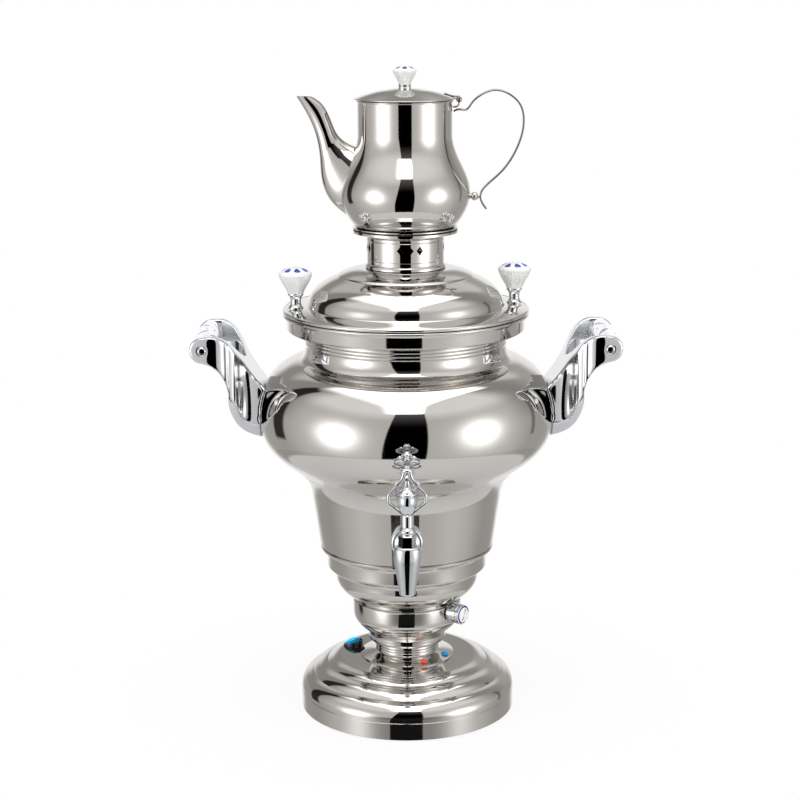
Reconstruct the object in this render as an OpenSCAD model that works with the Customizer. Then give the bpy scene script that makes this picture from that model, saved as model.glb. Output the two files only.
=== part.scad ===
// Electric table samovar: a steel urn with a tap and a heated base, a lift-off lid,
// a teapot stand and a hinged-lid teapot. Units are millimetres, +Z is up, the tap
// faces -Y and the origin is on the table under the middle of the urn.
// Spun pieces are one outer line, set in by the sheet and turned round the Z axis.

/* [Sheet and fits] */
// Thickness of the spun steel sheet
sheet_t = 0.8; // [0.6:0.1:1]
// Gap under the pieces that lift off one another
rest_gap = 0.3; // [0.2:0.05:0.4]
// Radial clearance of shafts and pins that turn
run_gap = 0.05; // [0.02:0.01:0.08]
// Radial clearance of the pieces that are pushed through a hole
hole_gap = 0.1; // [0.05:0.05:0.2]

/* [Base] */
// Radius of the base wall
base_r = 86.8; // [85:0.2:90]
// Height of the base rim above the table
foot_gap = 1.5; // [1.3:0.1:3]
// Height of the straight base wall
base_wall_h = 17; // [16.5:0.5:22]
// Height of the rounded shoulder above the wall
shoulder_h = 11.8; // [10:0.2:14]
// Width of the rounded shoulder
shoulder_w = 9.6; // [8.6:0.2:10.6]
// Width of each of the two rings above the shoulder
ring_w = 12.1; // [11.5:0.1:12.5]
// Height of the outer ring
ring2_h = 7.7; // [6.5:0.1:9]
// Height of the inner ring
ring3_h = 4.9; // [4:0.1:6]
// Radius of the wire passage through the base, the waist and the neck
passage_r = 20; // [16:0.5:21]
// Outer radius of the rubber ring it stands on
foot_r = 78; // [74:0.5:80]
// Width of the rubber ring
foot_w = 8; // [6:0.5:10]

/* [Waist and neck] */
// Radius of the flared foot of the waist
waist_foot_r = 38; // [37:0.2:39]
// Radius of the waist between its ribs
waist_r = 25.4; // [23.6:0.2:26]
// Height of the waist
waist_h = 19.4; // [18:0.2:24]
// Height of one waist rib
waist_rib_h = 2.4; // [2:0.1:2.6]
// Number of waist ribs
waist_ribs = 4; // [2:1:4]
// Radius of the top of the waist
waist_top_r = 29.6; // [28.5:0.1:30.5]
// Radius of the neck ring that carries the dial
neck_r = 43.8; // [43:0.2:46]
// Height of the neck ring
neck_h = 29.2; // [29:0.2:33]
// Step in from the neck ring to the foot of the skirt
seat_in = 2.8; // [2:0.1:3.4]

/* [Stepped skirt] */
// Radius of the lower band
band1_r = 57.6; // [56:0.2:60]
// Radius of the upper band
band2_r = 64.3; // [62.5:0.1:65.5]
// Height from the neck ring to the top of the lower band
band1_h = 24; // [22:0.5:27]
// Height of the upper band with its step
band2_h = 15; // [12:0.5:18]
// Height of the last step up to the tank
skirt_top_h = 7; // [6:0.5:9]

/* [Tank] */
// Radius of the tank floor
floor_r = 69.8; // [69:0.2:72]
// Height of the straight, leaning bowl wall
bowl_wall_h = 44; // [41:0.5:48]
// Widening of the bowl wall over its height
bowl_lean = 6.5; // [5:0.5:9]
// Height from the bowl wall to the widest line of the belly
flare_h = 65; // [60:0.5:70]
// Widest radius of the belly
belly_r = 117.6; // [114:0.2:122]
// Height from the widest line to the neck under the rim
shoulder_rise = 49; // [45:0.5:54]
// Radius of the tank neck
tank_neck_r = 80.6; // [79:0.2:82]
// Height of one of the fine ribs round the neck
neck_rib_h = 2.6; // [2:0.1:3]
// Number of fine ribs round the neck
neck_ribs = 3; // [1:1:4]
// Radius of the rim band
band_r = 94.4; // [93:0.1:96]
// Height of the cove from the neck to the rim band
band_rise = 19.5; // [17:0.5:22]
// Height of the upright rim band
band_h = 4; // [3:0.5:6]
// Radius of the rolled bead of the tank mouth
bead_r = 1.2; // [0.9:0.1:1.4]
// Height of the welded seam above the tank floor
seam_h = 63; // [56:0.5:70]

/* [Lid] */
// Overhang of the lid beyond the rim band
lid_over = 3.1; // [2.6:0.1:4.5]
// Radius of the rolled edge of the lid
lid_bead_r = 1.6; // [1.2:0.1:1.8]
// Radius at which the flat flange meets the dome
dome_r = 77.4; // [75:0.2:80]
// Height of the dome above the flange
dome_h = 31.9; // [28:0.2:36]
// Radius of the step near the top of the dome
dome_step_r = 53.6; // [50:0.2:56]
// Radial clearance of the lid's locating rim inside the tank's mouth
lid_rim_gap = 1.6; // [1.4:0.1:3]
// Depth of the locating rim
lid_rim_h = 8; // [6:0.5:12]
// Radius of the upright collar in the middle of the lid
collar_r = 28.6; // [27:0.1:29]
// Height of the collar above the dome
collar_h = 9; // [6:0.5:12]
// Distance of the lid knobs' axes from the lid's edge
knob_in = 10.5; // [9:0.1:12]
// Turn of the line of the two knobs against the handles
knob_turn = 7; // [0:1:15]
// Widest radius of a lid knob
knob_r = 13.2; // [11:0.2:14]
// Height of a lid knob's metal stem
stem_h = 12; // [10:0.5:14]

/* [Teapot stand] */
// Radius of the stand's sleeve
sleeve_r = 30.3; // [30:0.1:31.5]
// Height of the sleeve
sleeve_h = 24; // [22:0.5:28]
// Radius of the seat ring
seat_ring_r = 41.5; // [40:0.1:43]
// Height of the seat ring with its lip
seat_ring_h = 4.2; // [3.6:0.1:5]
// Width of a diamond vent
vent_w = 5.5; // [4:0.5:6]
// Height of a diamond vent
vent_h = 7; // [5:0.5:9]
// Number of vents in a group
vents = 3; // [1:1:4]
// Angle between the vents of a group
vent_step = 14.6; // [13:0.2:18]

/* [Teapot] */
// Radius of the flat bottom
pot_foot_r = 38; // [36:0.2:39]
// Widest radius of the teapot
pot_r = 51; // [49:0.2:53]
// Height of the widest line
pot_wide_h = 26; // [24:0.5:28]
// Radius of the teapot's neck
pot_neck_r = 36.9; // [36:0.1:38]
// Height at which the neck becomes straight
pot_neck_h = 72; // [68:0.5:76]
// Height of the teapot's mouth
pot_h = 93; // [91:0.5:96]
// Height of the lid's upright edge
pot_lid_edge_h = 3.6; // [3:0.1:4.5]
// Height of the lid's dome above its edge
pot_lid_dome_h = 8; // [6:0.5:10]
// Width of the handle strip
strip_w = 8; // [6:0.5:10]
// Thickness of the handle strip
strip_t = 1.6; // [1.2:0.1:2]
// Radius of the hinge pin
hinge_pin_r = 0.9; // [0.7:0.05:1.1]
// Outer radius of the hinge knuckles
knuckle_r = 2.3; // [2:0.1:2.6]
// Distance of the hinge axis outside the teapot's neck
hinge_out = 4.9; // [4.3:0.1:6]
// Widest radius of the teapot's knob
pot_knob_r = 9.4; // [8:0.2:10]
// Height of the teapot's knob
pot_knob_h = 14.2; // [12:0.2:16]

/* [Tap] */
// Height of the tap's shank above the tank floor
tap_h = 23; // [21:0.5:26]
// Distance of the tap's upright axis outside the belly's widest line
tap_out = 13.4; // [11:0.2:18]
// Radius of the tap barrel at its top
barrel_r = 10; // [9:0.2:11]
// Radius of the spout at its mouth
outlet_r = 5.6; // [5.2:0.1:6.4]
// Length of the barrel below the shank
outlet_h = 25; // [23:0.5:28]
// Radius of the shank
shank_r = 7; // [6.5:0.1:7.5]
// Radius of the bore for water
water_r = 3.6; // [3:0.1:4]
// Radius of the turning plug
plug_r = 5.5; // [5.1:0.1:6]
// Radius of the plug's stem
plug_stem_r = 3.4; // [3:0.1:3.6]
// Radius of the bonnet
bonnet_r = 6.3; // [6:0.1:7]
// Height of the bonnet
bonnet_h = 10.8; // [9:0.2:12]
// Radius of the rosette on the bowl
rosette_r = 12.6; // [11:0.2:14]
// Thickness of the key plate
key_t = 4; // [3:0.2:5]
// Half width of the key frame
key_w = 15; // [13:0.5:16]
// Radius of the turned bulb inside the key
bulb_r = 7.8; // [6.5:0.1:8.2]

/* [Side handles] */
// Distance of the grip's axis outside the belly
grip_out = 40.2; // [37:0.2:44]
// Height of the grip's axis above the belly's widest line
grip_up = 58.2; // [54:0.2:62]
// Radius of a lug and of the grip
lug_r = 10.3; // [9:0.1:11]
// Half width over the two lugs
fork_half = 44; // [42:0.5:47]
// Thickness of a lug
lug_t = 8.5; // [7:0.1:9.5]
// Radius of the bolt through the grip
grip_bolt_r = 2.5; // [2:0.1:3]
// Radius of a bracket stud
stud_r = 3; // [2.5:0.1:3.5]
// Half distance between the two studs of a bracket
stud_half = 13; // [10:0.5:14]

/* [Controls] */
// Angle of the dial from the tap
dial_az = 53; // [48:1:58]
// Height of the dial's axis above the foot of the neck ring
dial_h = 24.2; // [23.4:0.1:25]
// Radius of the dial
dial_r = 8; // [7:0.1:8.2]
// Distance of the dial's face outside the neck ring
dial_out = 13.6; // [11.4:0.2:16]
// Radius of the thermostat's shaft
shaft_r = 3; // [2.5:0.1:3.5]
// Angle of the rocker switch from the tap
switch_az = 249; // [244:1:254]
// Distance of the rocker switch from the urn's axis
switch_x = 48; // [46.5:0.1:49]
// Radius of the switch's bezel
bezel_r = 8; // [7.9:0.1:8.4]
// Radius of the rocker
rocker_r = 6.4; // [5.6:0.1:6.6]
// Outward lean of the switch's face
switch_lean = 15; // [10:1:17]
// Tilt of the rocker at rest, on top of that lean
rocker_tilt = 8; // [5:1:9]
// Distance of the lamps from the urn's axis
lamp_x = 33; // [32.6:0.1:33.4]
// Radius of a lamp's lens
lamp_r = 3; // [2.4:0.1:3.2]
// Angle of the red lamp from the tap
lamp_red_az = 24; // [18:1:30]
// Angle of the blue lamp from the tap
lamp_blue_az = 68; // [60:1:76]

/* [Hidden] */
$fn = 96;

// Colours
steel = [0.72, 0.71, 0.69];
chrome = [0.80, 0.83, 0.86];
porcelain = [0.95, 0.95, 0.94];
cobalt = [0.10, 0.18, 0.60];
black = [0.08, 0.08, 0.09];
brass = [0.75, 0.62, 0.35];
white = [0.92, 0.92, 0.90];
cyan = [0.0, 0.62, 0.95];
red = [0.9, 0.22, 0.15];

// Heights of the stack, each from the one below
z_rim = foot_gap;
groove1 = [base_r - shoulder_w, base_wall_h + shoulder_h];
groove2 = groove1 + [-ring_w, ring2_h];
top_edge = groove2 + [-ring_w, ring3_h];
z_top = z_rim + top_edge[1];
z_neck = z_top + waist_h;
z_skirt = z_neck + neck_h;
skirt_h = band1_h + band2_h + skirt_top_h;
z_floor = z_skirt + skirt_h;
z_belly = z_floor + bowl_wall_h + flare_h;
z_tank_neck = z_belly + shoulder_rise;
z_band = z_tank_neck + neck_ribs * neck_rib_h;
z_mouth = z_band + band_rise + band_h + bead_r;
z_flange = z_mouth + rest_gap + 2 * lid_bead_r;
z_dome = z_flange + dome_h;
z_sleeve = z_dome + rest_gap;
z_ring = z_sleeve + sleeve_h + 3.5;
z_seat = z_ring + seat_ring_h;
z_pot = z_seat + rest_gap;
z_pot_mouth = z_pot + pot_h;
z_pot_lid = z_pot_mouth + 2 * sheet_t + rest_gap;
z_tap = z_floor + tap_h;
z_grip = z_belly + grip_up;

// Places that follow from the pieces beside them
seat_r = neck_r - seat_in;
lid_r = band_r + lid_over;
lid_rim_r = band_r - sheet_t - lid_rim_gap;
knob_ring_r = lid_r - knob_in;
hinge_x = pot_neck_r + hinge_out;
tap_y = belly_r + tap_out;
dial_face_x = neck_r + dial_out;

// Sides of the blended, triangulated shapes
loft_sides = 24;

// Points along a cubic curve that leaves a towards b and arrives at d from c
function bez(a, b, c, d, n = 10) = [
    for (i = [0 : n]) let (t = i / n, s = 1 - t)
        s * s * s * a + 3 * s * s * t * b + 3 * s * t * t * c + t * t * t * d
];

// Points along an arc from a to b that swells by rise to the right of its direction
function swell(a, b, rise, n = 4) =
    let (c = norm(b - a), u = (b - a) / c, right = [u[1], -u[0]],
         half = 2 * atan(2 * rise / c), r = c / 2 / sin(half))
    [for (k = [-n : n]) (a + b) / 2 + u * r * sin(half * k / n)
        + right * r * (cos(half * k / n) - cos(half))];

// Joins stretches, each of which begins where the one before it ends
function chain(parts) = [
    for (k = [0 : len(parts) - 1])
        for (i = [(k == 0 ? 0 : 1) : len(parts[k]) - 1])
            parts[k][i]
];

// A smooth curve through the points p, with n steps between two of them
function smooth(p, n = 4) = [
    for (i = [0 : len(p) - 2])
        let (a = p[max(0, i - 1)], b = p[i], c = p[i + 1], d = p[min(len(p) - 1, i + 2)])
            for (k = [0 : (i == len(p) - 2 ? n : n - 1)])
                let (t = k / n)
                    0.5 * (2 * b + (c - a) * t + (2 * a - 5 * b + 4 * c - d) * t * t
                        + (3 * b - a - 3 * c + d) * t * t * t)
];

function unit(v) = v / norm(v);
function right_of(v) = [v[1], -v[0]];
function reversed(p) = [for (i = [len(p) - 1 : -1 : 0]) p[i]];

// The line p set over to the left of its direction by t, with mitred corners
function inset(p, t) = [
    for (i = [0 : len(p) - 1])
        let (a = unit(p[max(1, i)] - p[max(1, i) - 1]),
             b = unit(p[min(len(p) - 1, i + 1)] - p[min(len(p) - 1, i + 1) - 1]),
             m = unit(right_of(a) + right_of(b)))
            p[i] - m * t / max(0.7, m * right_of(a))
];

// A spun sheet: the line p with the wall t to its left, turned round Z. Where fine ribs
// are rolled into it, back is the same line without them
module spun(p, t = sheet_t, back = undef) {
    rotate_extrude() polygon(concat(p, reversed(inset(is_undef(back) ? p : back, t))));
}

// A turned solid that fills the line p up to the axis
module turned(p) {
    rotate_extrude() polygon(concat([[0, p[0][1]]], p, [[0, p[len(p) - 1][1]]]));
}

// A ring with the outer radius r, the inner radius bore and the height h
module ring(r, bore, h) {
    difference() {
        cylinder(r = r, h = h);
        translate([0, 0, -1]) cylinder(r = bore, h = h + 2);
    }
}

// A rolled wire edge
module bead(r, z, wire) {
    translate([0, 0, z]) rotate_extrude() translate([r, 0]) circle(r = wire, $fn = 32);
}

// Places children at the angle az from the tap, at the radius r, with -Y outwards
module at_az(az, r = 0, z = 0) {
    rotate([0, 0, az]) translate([0, -r, z]) children();
}

// Turns an upright piece so that it points outwards, along -Y
module outwards() {
    rotate([90, 0, 0]) children();
}

// A solid through rings of points, all with the same number of points
module loft(rings) {
    m = len(rings[0]);
    last = len(rings) - 1;
    polyhedron(
        points = [for (g = rings) for (q = g) q],
        faces = concat(
            [[for (j = [0 : m - 1]) j]],
            [for (i = [0 : last - 1]) for (j = [0 : m - 1])
                [i * m + j, (i + 1) * m + j, (i + 1) * m + (j + 1) % m, i * m + (j + 1) % m]],
            [[for (j = [m - 1 : -1 : 0]) last * m + j]]
        ),
        convexity = 6
    );
}

// An insulated wire of the radius r along the points p
module wire(p, r) {
    sides = 8;
    path = smooth(p, 3);
    loft([
        for (i = [0 : len(path) - 1])
            let (t = unit(path[min(len(path) - 1, i + 1)] - path[max(0, i - 1)]),
                 a = unit(cross(t, [0.4, 0.9, 0.1])), b = cross(t, a))
                [for (j = [0 : sides - 1])
                    path[i] + r * (a * cos(-360 * j / sides) + b * sin(-360 * j / sides))]
    ]);
}

// ---- Base ----

hem_w = 3;
inlet_w = 27.4;
inlet_h = 18.4;
inlet_depth = 24;
inlet_proud = 0.3;
z_inlet = z_rim + 2.2;
switch_barrel_r = rocker_r + 1.1;
switch_depth = 16;
switch_end = [switch_x * sin(switch_az), -switch_x * cos(switch_az), z_top - switch_depth];
lamp_barrel_r = lamp_r + 0.4;
lamp_collar_r = lamp_r + 1;
lamp_hole_r = lamp_collar_r + 0.2;

base_line = chain([
    [[base_r - hem_w, 0], [base_r, 0], [base_r, base_wall_h]],
    swell([base_r, base_wall_h], groove1, 2.4, 5),
    swell(groove1, groove2, 1.7),
    swell(groove2, top_edge, 1.5),
    [top_edge, [passage_r, top_edge[1]]]
]);

module base_shell() {
    color(steel) difference() {
        translate([0, 0, z_rim]) spun(base_line);
        at_az(switch_az, switch_x, z_top - 10)
            cylinder(r = switch_barrel_r + hole_gap, h = 20);
        for (az = [lamp_red_az, lamp_blue_az])
            at_az(az, lamp_x, z_top - 5) cylinder(r = lamp_barrel_r + hole_gap, h = 10);
        translate([-inlet_w / 2 - hole_gap, base_r - 12, z_inlet - hole_gap])
            cube([inlet_w + 2 * hole_gap, 20, inlet_h + 2 * hole_gap]);
    }
}

cover_r = base_r - 1.2;
well_r = 14;
well_h = 9;
rod_r = 4;
cover_line = [
    [rod_r + hole_gap, well_h], [well_r, well_h], [well_r + 2, 0], [cover_r, 0]
];

// The cover closes the base from below, and its middle is drawn up for the nut
module bottom_cover() {
    color(steel) translate([0, 0, z_rim - sheet_t]) spun(cover_line);
}

// The non-slip ring glued under the cover
module foot_ring() {
    color(black) ring(foot_r, foot_r - foot_w, z_rim - sheet_t);
}

// ---- Waist, neck ring and skirt ----

function ribs(r, z, count, pitch, rise) = chain([
    for (k = [0 : count - 1]) swell([r, z + k * pitch], [r, z + (k + 1) * pitch], rise, 3)
]);

waist_flare_h = 7;
waist_ribs_top = waist_flare_h + waist_ribs * waist_rib_h;
function waist_line(ribbed) = chain([
    [[waist_foot_r, 0], [waist_foot_r, 0.9]],
    bez([waist_foot_r, 0.9], [waist_r + 6, 2.8], [waist_r + 0.4, 3.6], [waist_r, waist_flare_h]),
    ribbed ? ribs(waist_r, waist_flare_h, waist_ribs, waist_rib_h, 0.6)
        : [[waist_r, waist_flare_h], [waist_r, waist_ribs_top]],
    bez([waist_r, waist_ribs_top], [waist_r + 2, waist_ribs_top + 0.8],
        [waist_top_r, waist_h - 1.6], [waist_top_r, waist_h], 5),
    [[waist_top_r, waist_h], [passage_r, waist_h]]
]);

module neck_waist() {
    color(steel) difference() {
        translate([0, 0, z_top]) spun(waist_line(true), back = waist_line(false));
        for (az = [lamp_red_az, lamp_blue_az])
            at_az(az, lamp_x, z_top - 1) cylinder(r = lamp_hole_r, h = 12);
    }
}

neck_top_hole_r = seat_r - 1.5;
neck_line = chain([
    [[passage_r, 0], [waist_top_r, 0], [waist_top_r + 0.4, 1]],
    bez([waist_top_r + 0.4, 1], [waist_top_r + 1.4, 7], [neck_r, 7], [neck_r, 19], 8),
    [[neck_r, 19], [neck_r, neck_h - 1.6]],
    swell([neck_r, neck_h - 1.6], [neck_r - 1.6, neck_h], 0.45, 2),
    [[neck_r - 1.6, neck_h], [neck_top_hole_r, neck_h]]
]);

module neck_ring() {
    color(steel) difference() {
        translate([0, 0, z_neck]) spun(neck_line);
        at_az(dial_az, neck_r - 6, z_neck + dial_h)
            outwards() cylinder(r = bushing_r + hole_gap, h = 12);
    }
}

skirt_line = chain([
    [[seat_r - 1.2, 0], [seat_r, 0], [seat_r, 2.3]],
    bez([seat_r, 2.3], [seat_r + 9, 4.6], [band1_r, band1_h * 0.5], [band1_r, band1_h - 3.5]),
    [[band1_r, band1_h - 3.5], [band1_r + 0.4, band1_h]],
    bez([band1_r + 0.4, band1_h], [band1_r + 0.8, band1_h + 3.4],
        [band2_r, band1_h + 2.4], [band2_r, band1_h + 6], 7),
    [[band2_r, band1_h + 6], [band2_r, band1_h + band2_h]],
    bez([band2_r, band1_h + band2_h], [band2_r + 0.4, skirt_h - 3],
        [floor_r - 0.3, skirt_h - 3.2], [floor_r, skirt_h - 1.4], 7),
    [[floor_r, skirt_h - 1.4], [floor_r, skirt_h], [floor_r - 8, skirt_h]]
]);

module stepped_skirt() {
    color(steel) translate([0, 0, z_skirt]) spun(skirt_line);
}

// ---- Tank ----

bowl_top_r = floor_r + bowl_lean;
neck_foot = [tank_neck_r, bowl_wall_h + flare_h + shoulder_rise];
ribs_top = neck_foot[1] + neck_ribs * neck_rib_h;
band_foot = ribs_top + band_rise;
belly_point = [belly_r, bowl_wall_h + flare_h];
flare_start = 30;
flare_reach = 40;
shoulder_start = 27.6;
shoulder_reach = [18.2, -8.8];

function tank_line(ribbed) = chain([
    [[floor_r - 1.2, 0], [floor_r, 1.2], [bowl_top_r, bowl_wall_h]],
    bez([bowl_top_r, bowl_wall_h],
        [bowl_top_r + flare_start * bowl_lean / bowl_wall_h, bowl_wall_h + flare_start],
        belly_point - [0, flare_reach], belly_point, 20),
    bez(belly_point, belly_point + [0, shoulder_start],
        neck_foot + [1.9, -1.5] + shoulder_reach, neck_foot + [1.9, -1.5], 16),
    [neck_foot + [1.9, -1.5], neck_foot],
    ribbed ? ribs(tank_neck_r, neck_foot[1], neck_ribs, neck_rib_h, 0.5)
        : [neck_foot, [tank_neck_r, ribs_top]],
    bez([tank_neck_r, ribs_top], [tank_neck_r, ribs_top + 8.5],
        [band_r, ribs_top + 7], [band_r, band_foot], 10),
    [[band_r, band_foot], [band_r + 0.6, band_foot + band_h - 1.2],
     [band_r + 1.8, band_foot + band_h]]
]);

// The space inside the tank's wall, or the whole tank when the inset is 0
module tank_solid(by) {
    translate([0, 0, z_floor]) turned(inset(tank_line(false), by));
}

module below_seam() {
    cylinder(r = belly_r + 50, h = z_floor + seam_h);
}

tap_hole_y = floor_r - 10;
floor_line = [[0, 0], [floor_r - 1.2, 0]];
element_ring_r = 40;
element_r = 4;
element_h = 14;
element_gap = 15;
element_drop = 10;

module element_places() {
    for (turn = [-element_gap, element_gap])
        at_az(180 + turn, element_ring_r) children();
}

// The deep-drawn lower half, with its floor
module tank_bowl() {
    color(steel) difference() {
        intersection() {
            translate([0, 0, z_floor]) spun(chain([floor_line, tank_line(false)]));
            below_seam();
        }
        at_az(0, tap_hole_y, z_tap) outwards() cylinder(r = shank_r + hole_gap, h = 30);
        element_places() translate([0, 0, z_floor - 5]) cylinder(r = element_r + hole_gap, h = 10);
    }
}

module stud_places() {
    for (side = [-1, 1])
        for (y = [-stud_half, stud_half])
            translate([0, y, z_belly + stud_up])
                rotate([0, 90 * side, 0])
                    children();
}

module below_neck() {
    cylinder(r = belly_r + 50, h = z_tank_neck);
}

// The belly, from the seam to the foot of the neck
module tank_belly() {
    color(steel) difference() {
        intersection() {
            translate([0, 0, z_floor]) spun(tank_line(false));
            below_neck();
        }
        below_seam();
        stud_places() cylinder(r = stud_r + hole_gap, h = belly_r + 20);
    }
}

// The ribbed neck with the rim band and its rolled mouth, welded to the belly
module tank_rim() {
    color(steel) {
        difference() {
            translate([0, 0, z_floor]) spun(tank_line(true), back = tank_line(false));
            below_neck();
        }
        bead(band_r + 1.8, z_mouth - bead_r, bead_r);
    }
}

// ---- Inside the urn ----

module tie_rod() {
    color(chrome) translate([0, 0, z_rim + 0.5]) cylinder(r = rod_r, h = z_floor - z_rim - 0.5);
}

tie_nut_h = 5;
tie_washer_h = 1.2;

module tie_nuts() {
    color(chrome) translate([0, 0, z_rim - sheet_t + well_h]) mirror([0, 0, 1]) {
        difference() {
            union() {
                cylinder(r = 9, h = tie_washer_h);
                translate([0, 0, tie_washer_h]) cylinder(r = 7.5, h = tie_nut_h, $fn = 6);
            }
            translate([0, 0, -1]) cylinder(r = rod_r, h = tie_nut_h + tie_washer_h + 2);
        }
    }
}

z_element = z_floor + sheet_t + element_h;

module heating_element() {
    color(steel) {
        rotate([0, 0, 90 + element_gap]) translate([0, 0, z_element])
            rotate_extrude(angle = 360 - 2 * element_gap)
                translate([element_ring_r, 0]) circle(r = element_r, $fn = 32);
        element_places() {
            translate([0, 0, z_floor - element_drop])
                cylinder(r = element_r, h = element_h + sheet_t + element_drop);
            translate([0, 0, z_element]) sphere(r = element_r + 0.5, $fn = 32);
        }
    }
}

module element_nuts() {
    color(brass) element_places()
        translate([0, 0, z_floor - 5]) ring(8, element_r, 5);
}

bushing_r = 4.5;
thermostat_r = 9;
thermostat_x = 22;
thermostat_len = 15;
thermostat_nut_h = 2.5;

module at_dial(x) {
    at_az(dial_az, x, z_neck + dial_h) outwards() children();
}

module thermostat() {
    color(black) at_dial(thermostat_x) cylinder(r = thermostat_r, h = thermostat_len);
    color(brass) at_dial(thermostat_x + thermostat_len) {
        cylinder(r = bushing_r, h = neck_r + 4 - thermostat_x - thermostat_len);
        cylinder(r = shaft_r, h = dial_face_x - 4 - thermostat_x - thermostat_len);
    }
}

module thermostat_nut() {
    color(chrome) at_dial(neck_r) ring(6.2, bushing_r, thermostat_nut_h);
}

module thermal_cutout() {
    color(black) translate([-22, -6, z_floor - 7]) cylinder(r = 8, h = 7);
}

block_size = [32, 16, 12];
block_at = [-46, -34, z_rim];

module terminal_block() {
    color(white) translate(block_at) difference() {
        cube(block_size);
        for (i = [0 : 3])
            translate([terminal_pitch * (i + 0.5), block_size[1] / 2, block_size[2] - terminal_depth])
                cylinder(r = 2.4, h = terminal_depth + 1);
    }
}

wire_r = 1.1;
wire_gap = 0.3;
inlet_end = [0, base_r + inlet_proud - inlet_depth - wire_gap, z_inlet + inlet_h / 2];
element_end = [-element_ring_r * sin(element_gap), element_ring_r * cos(element_gap),
               z_floor - element_drop - wire_gap];

// A point on the thermostat's axis, x out from the urn's axis
function on_dial_axis(x) = [x * sin(dial_az), -x * cos(dial_az), z_neck + dial_h];
terminal_depth = 5;
terminal_pitch = 8;

// The first two points of a wire: down in terminal i, and straight above it
function from_terminal(i) =
    let (x = terminal_pitch * (i + 0.5), y = block_size[1] / 2, z = block_size[2])
        [block_at + [x, y, z - terminal_depth + wire_gap], block_at + [x, y, z - 1],
         block_at + [x, y, z + 4]];

module wiring_loom() {
    color(white) {
        // to the thermostat
        wire(concat(from_terminal(3), [[-14, -20, 26], [-11, -10, 40], [-11, -9, 66],
            [-2, -9, 80], on_dial_axis(thermostat_x - 8),
            on_dial_axis(thermostat_x - wire_gap)]), wire_r);
        // to one leg of the element
        wire(concat(from_terminal(2), [[-24, -10, 28], [-13, 6, 42], [-10, 9, 66],
            [-10, 22, 100], element_end - [0, 0, 6], element_end]), wire_r);
        // to the switch
        wire(concat(from_terminal(1), [[-40, -4, 22], switch_end - [0, 0, 6],
            switch_end - [0, 0, wire_gap]]), wire_r);
        // to the inlet
        wire(concat(from_terminal(0), [[-38, -6, 24], [-22, 18, 15], [-4, 44, 12.9],
            inlet_end - [0, 6, 0], inlet_end]), wire_r);
    }
}

// ---- Side handles ----

stud_up = 3;
stud_in = 14;
stud_deep = 9;
stud_nut_h = 5;
stud_washer = 6;
stud_washer_r = 8;
lug_x = belly_r + grip_out;
grip_half = fork_half - lug_t;

// Upper edge of a bracket seen along Y, from the lug to the belly
bracket_top = smooth([
    [lug_x, z_grip + lug_r], [lug_x - 10, z_grip + lug_r], [belly_r + 21.6, z_grip + 6],
    [belly_r + 14.6, z_grip - 3.4], [belly_r + 3, z_belly + 36], [belly_r - 14, z_belly + 14]
], 4);

// Lower edge, from the belly back to the lug
bracket_low = smooth([
    [belly_r - 14, z_belly - 20.5], [belly_r + 4, z_belly - 15.5], [belly_r + 14.5, z_belly - 7],
    [belly_r + 20.5, z_belly + 9], [belly_r + 21.6, z_belly + 27], [belly_r + 26.6, z_belly + 39],
    [lug_x - 7, z_grip - lug_r - 2.6], [lug_x, z_grip - lug_r]
], 4);

// Half width seen from above
bracket_plan = smooth([
    [belly_r - 20, 22], [belly_r - 1.6, 23.5], [belly_r + 9.4, 27.5], [belly_r + 15.4, 38],
    [belly_r + 22, fork_half]
], 4);

// Half width seen from the side of the urn
bracket_face = smooth([
    [8, z_belly - 22], [15, z_belly - 14], [26, z_belly - 3], [36, z_belly + 10],
    [fork_half, z_belly + 22]
], 4);

// Half width of the finger gap seen from above
gap_plan = smooth([
    [belly_r + 10, 0.01], [belly_r + 12.4, 12], [belly_r + 16.4, 22], [belly_r + 23, 31],
    [belly_r + 31, grip_half]
], 4);

// The floor of the finger gap seen along Y
gap_floor = [
    [belly_r, z_belly + 44], [belly_r + 10, z_belly + 28], [belly_r + 18, z_belly + 14],
    [lug_x + 20, z_belly + 6], [lug_x + 20, z_grip + 40], [belly_r, z_grip + 40]
];

function mirrored(p) = concat(p, [for (i = [len(p) - 1 : -1 : 0]) [p[i][0], -p[i][1]]]);

module along_y(half) {
    rotate([90, 0, 0]) translate([0, 0, -half]) linear_extrude(2 * half) children();
}

module finger_gap() {
    reach = lug_x + 20;
    intersection() {
        linear_extrude(z_grip + 60)
            polygon(mirrored(concat(gap_plan, [[reach, grip_half]])));
        along_y(fork_half + 1) polygon(gap_floor);
    }
}

module bracket_body() {
    intersection() {
        along_y(fork_half) union() {
            polygon(concat(bracket_top, bracket_low));
            translate([lug_x, z_grip]) circle(r = lug_r);
        }
        linear_extrude(z_grip + 60)
            polygon(mirrored(concat(bracket_plan, [[lug_x + 20, fork_half]])));
        rotate([90, 0, 90]) linear_extrude(lug_x + 20)
            polygon(concat(
                bracket_face, [[fork_half, z_grip + 40], [-fork_half, z_grip + 40]],
                [for (i = [len(bracket_face) - 1 : -1 : 0]) [-bracket_face[i][0], bracket_face[i][1]]]));
    }
}

bolt_len = 2 * fork_half + 3;

module grip_axis() {
    translate([lug_x, 0, z_grip]) rotate([90, 0, 0]) children();
}

module handle_bracket() {
    color(chrome) difference() {
        bracket_body();
        finger_gap();
        tank_solid(0);
        grip_axis() cylinder(r = grip_bolt_r, h = bolt_len + 10, center = true);
        for (y = [-stud_half, stud_half])
            translate([0, y, z_belly + stud_up]) rotate([0, 90, 0])
                cylinder(r = stud_r, h = belly_r + stud_deep);
    }
}

module handle_bracket_right() {
    handle_bracket();
}

module handle_bracket_left() {
    mirror([1, 0, 0]) handle_bracket();
}

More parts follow.
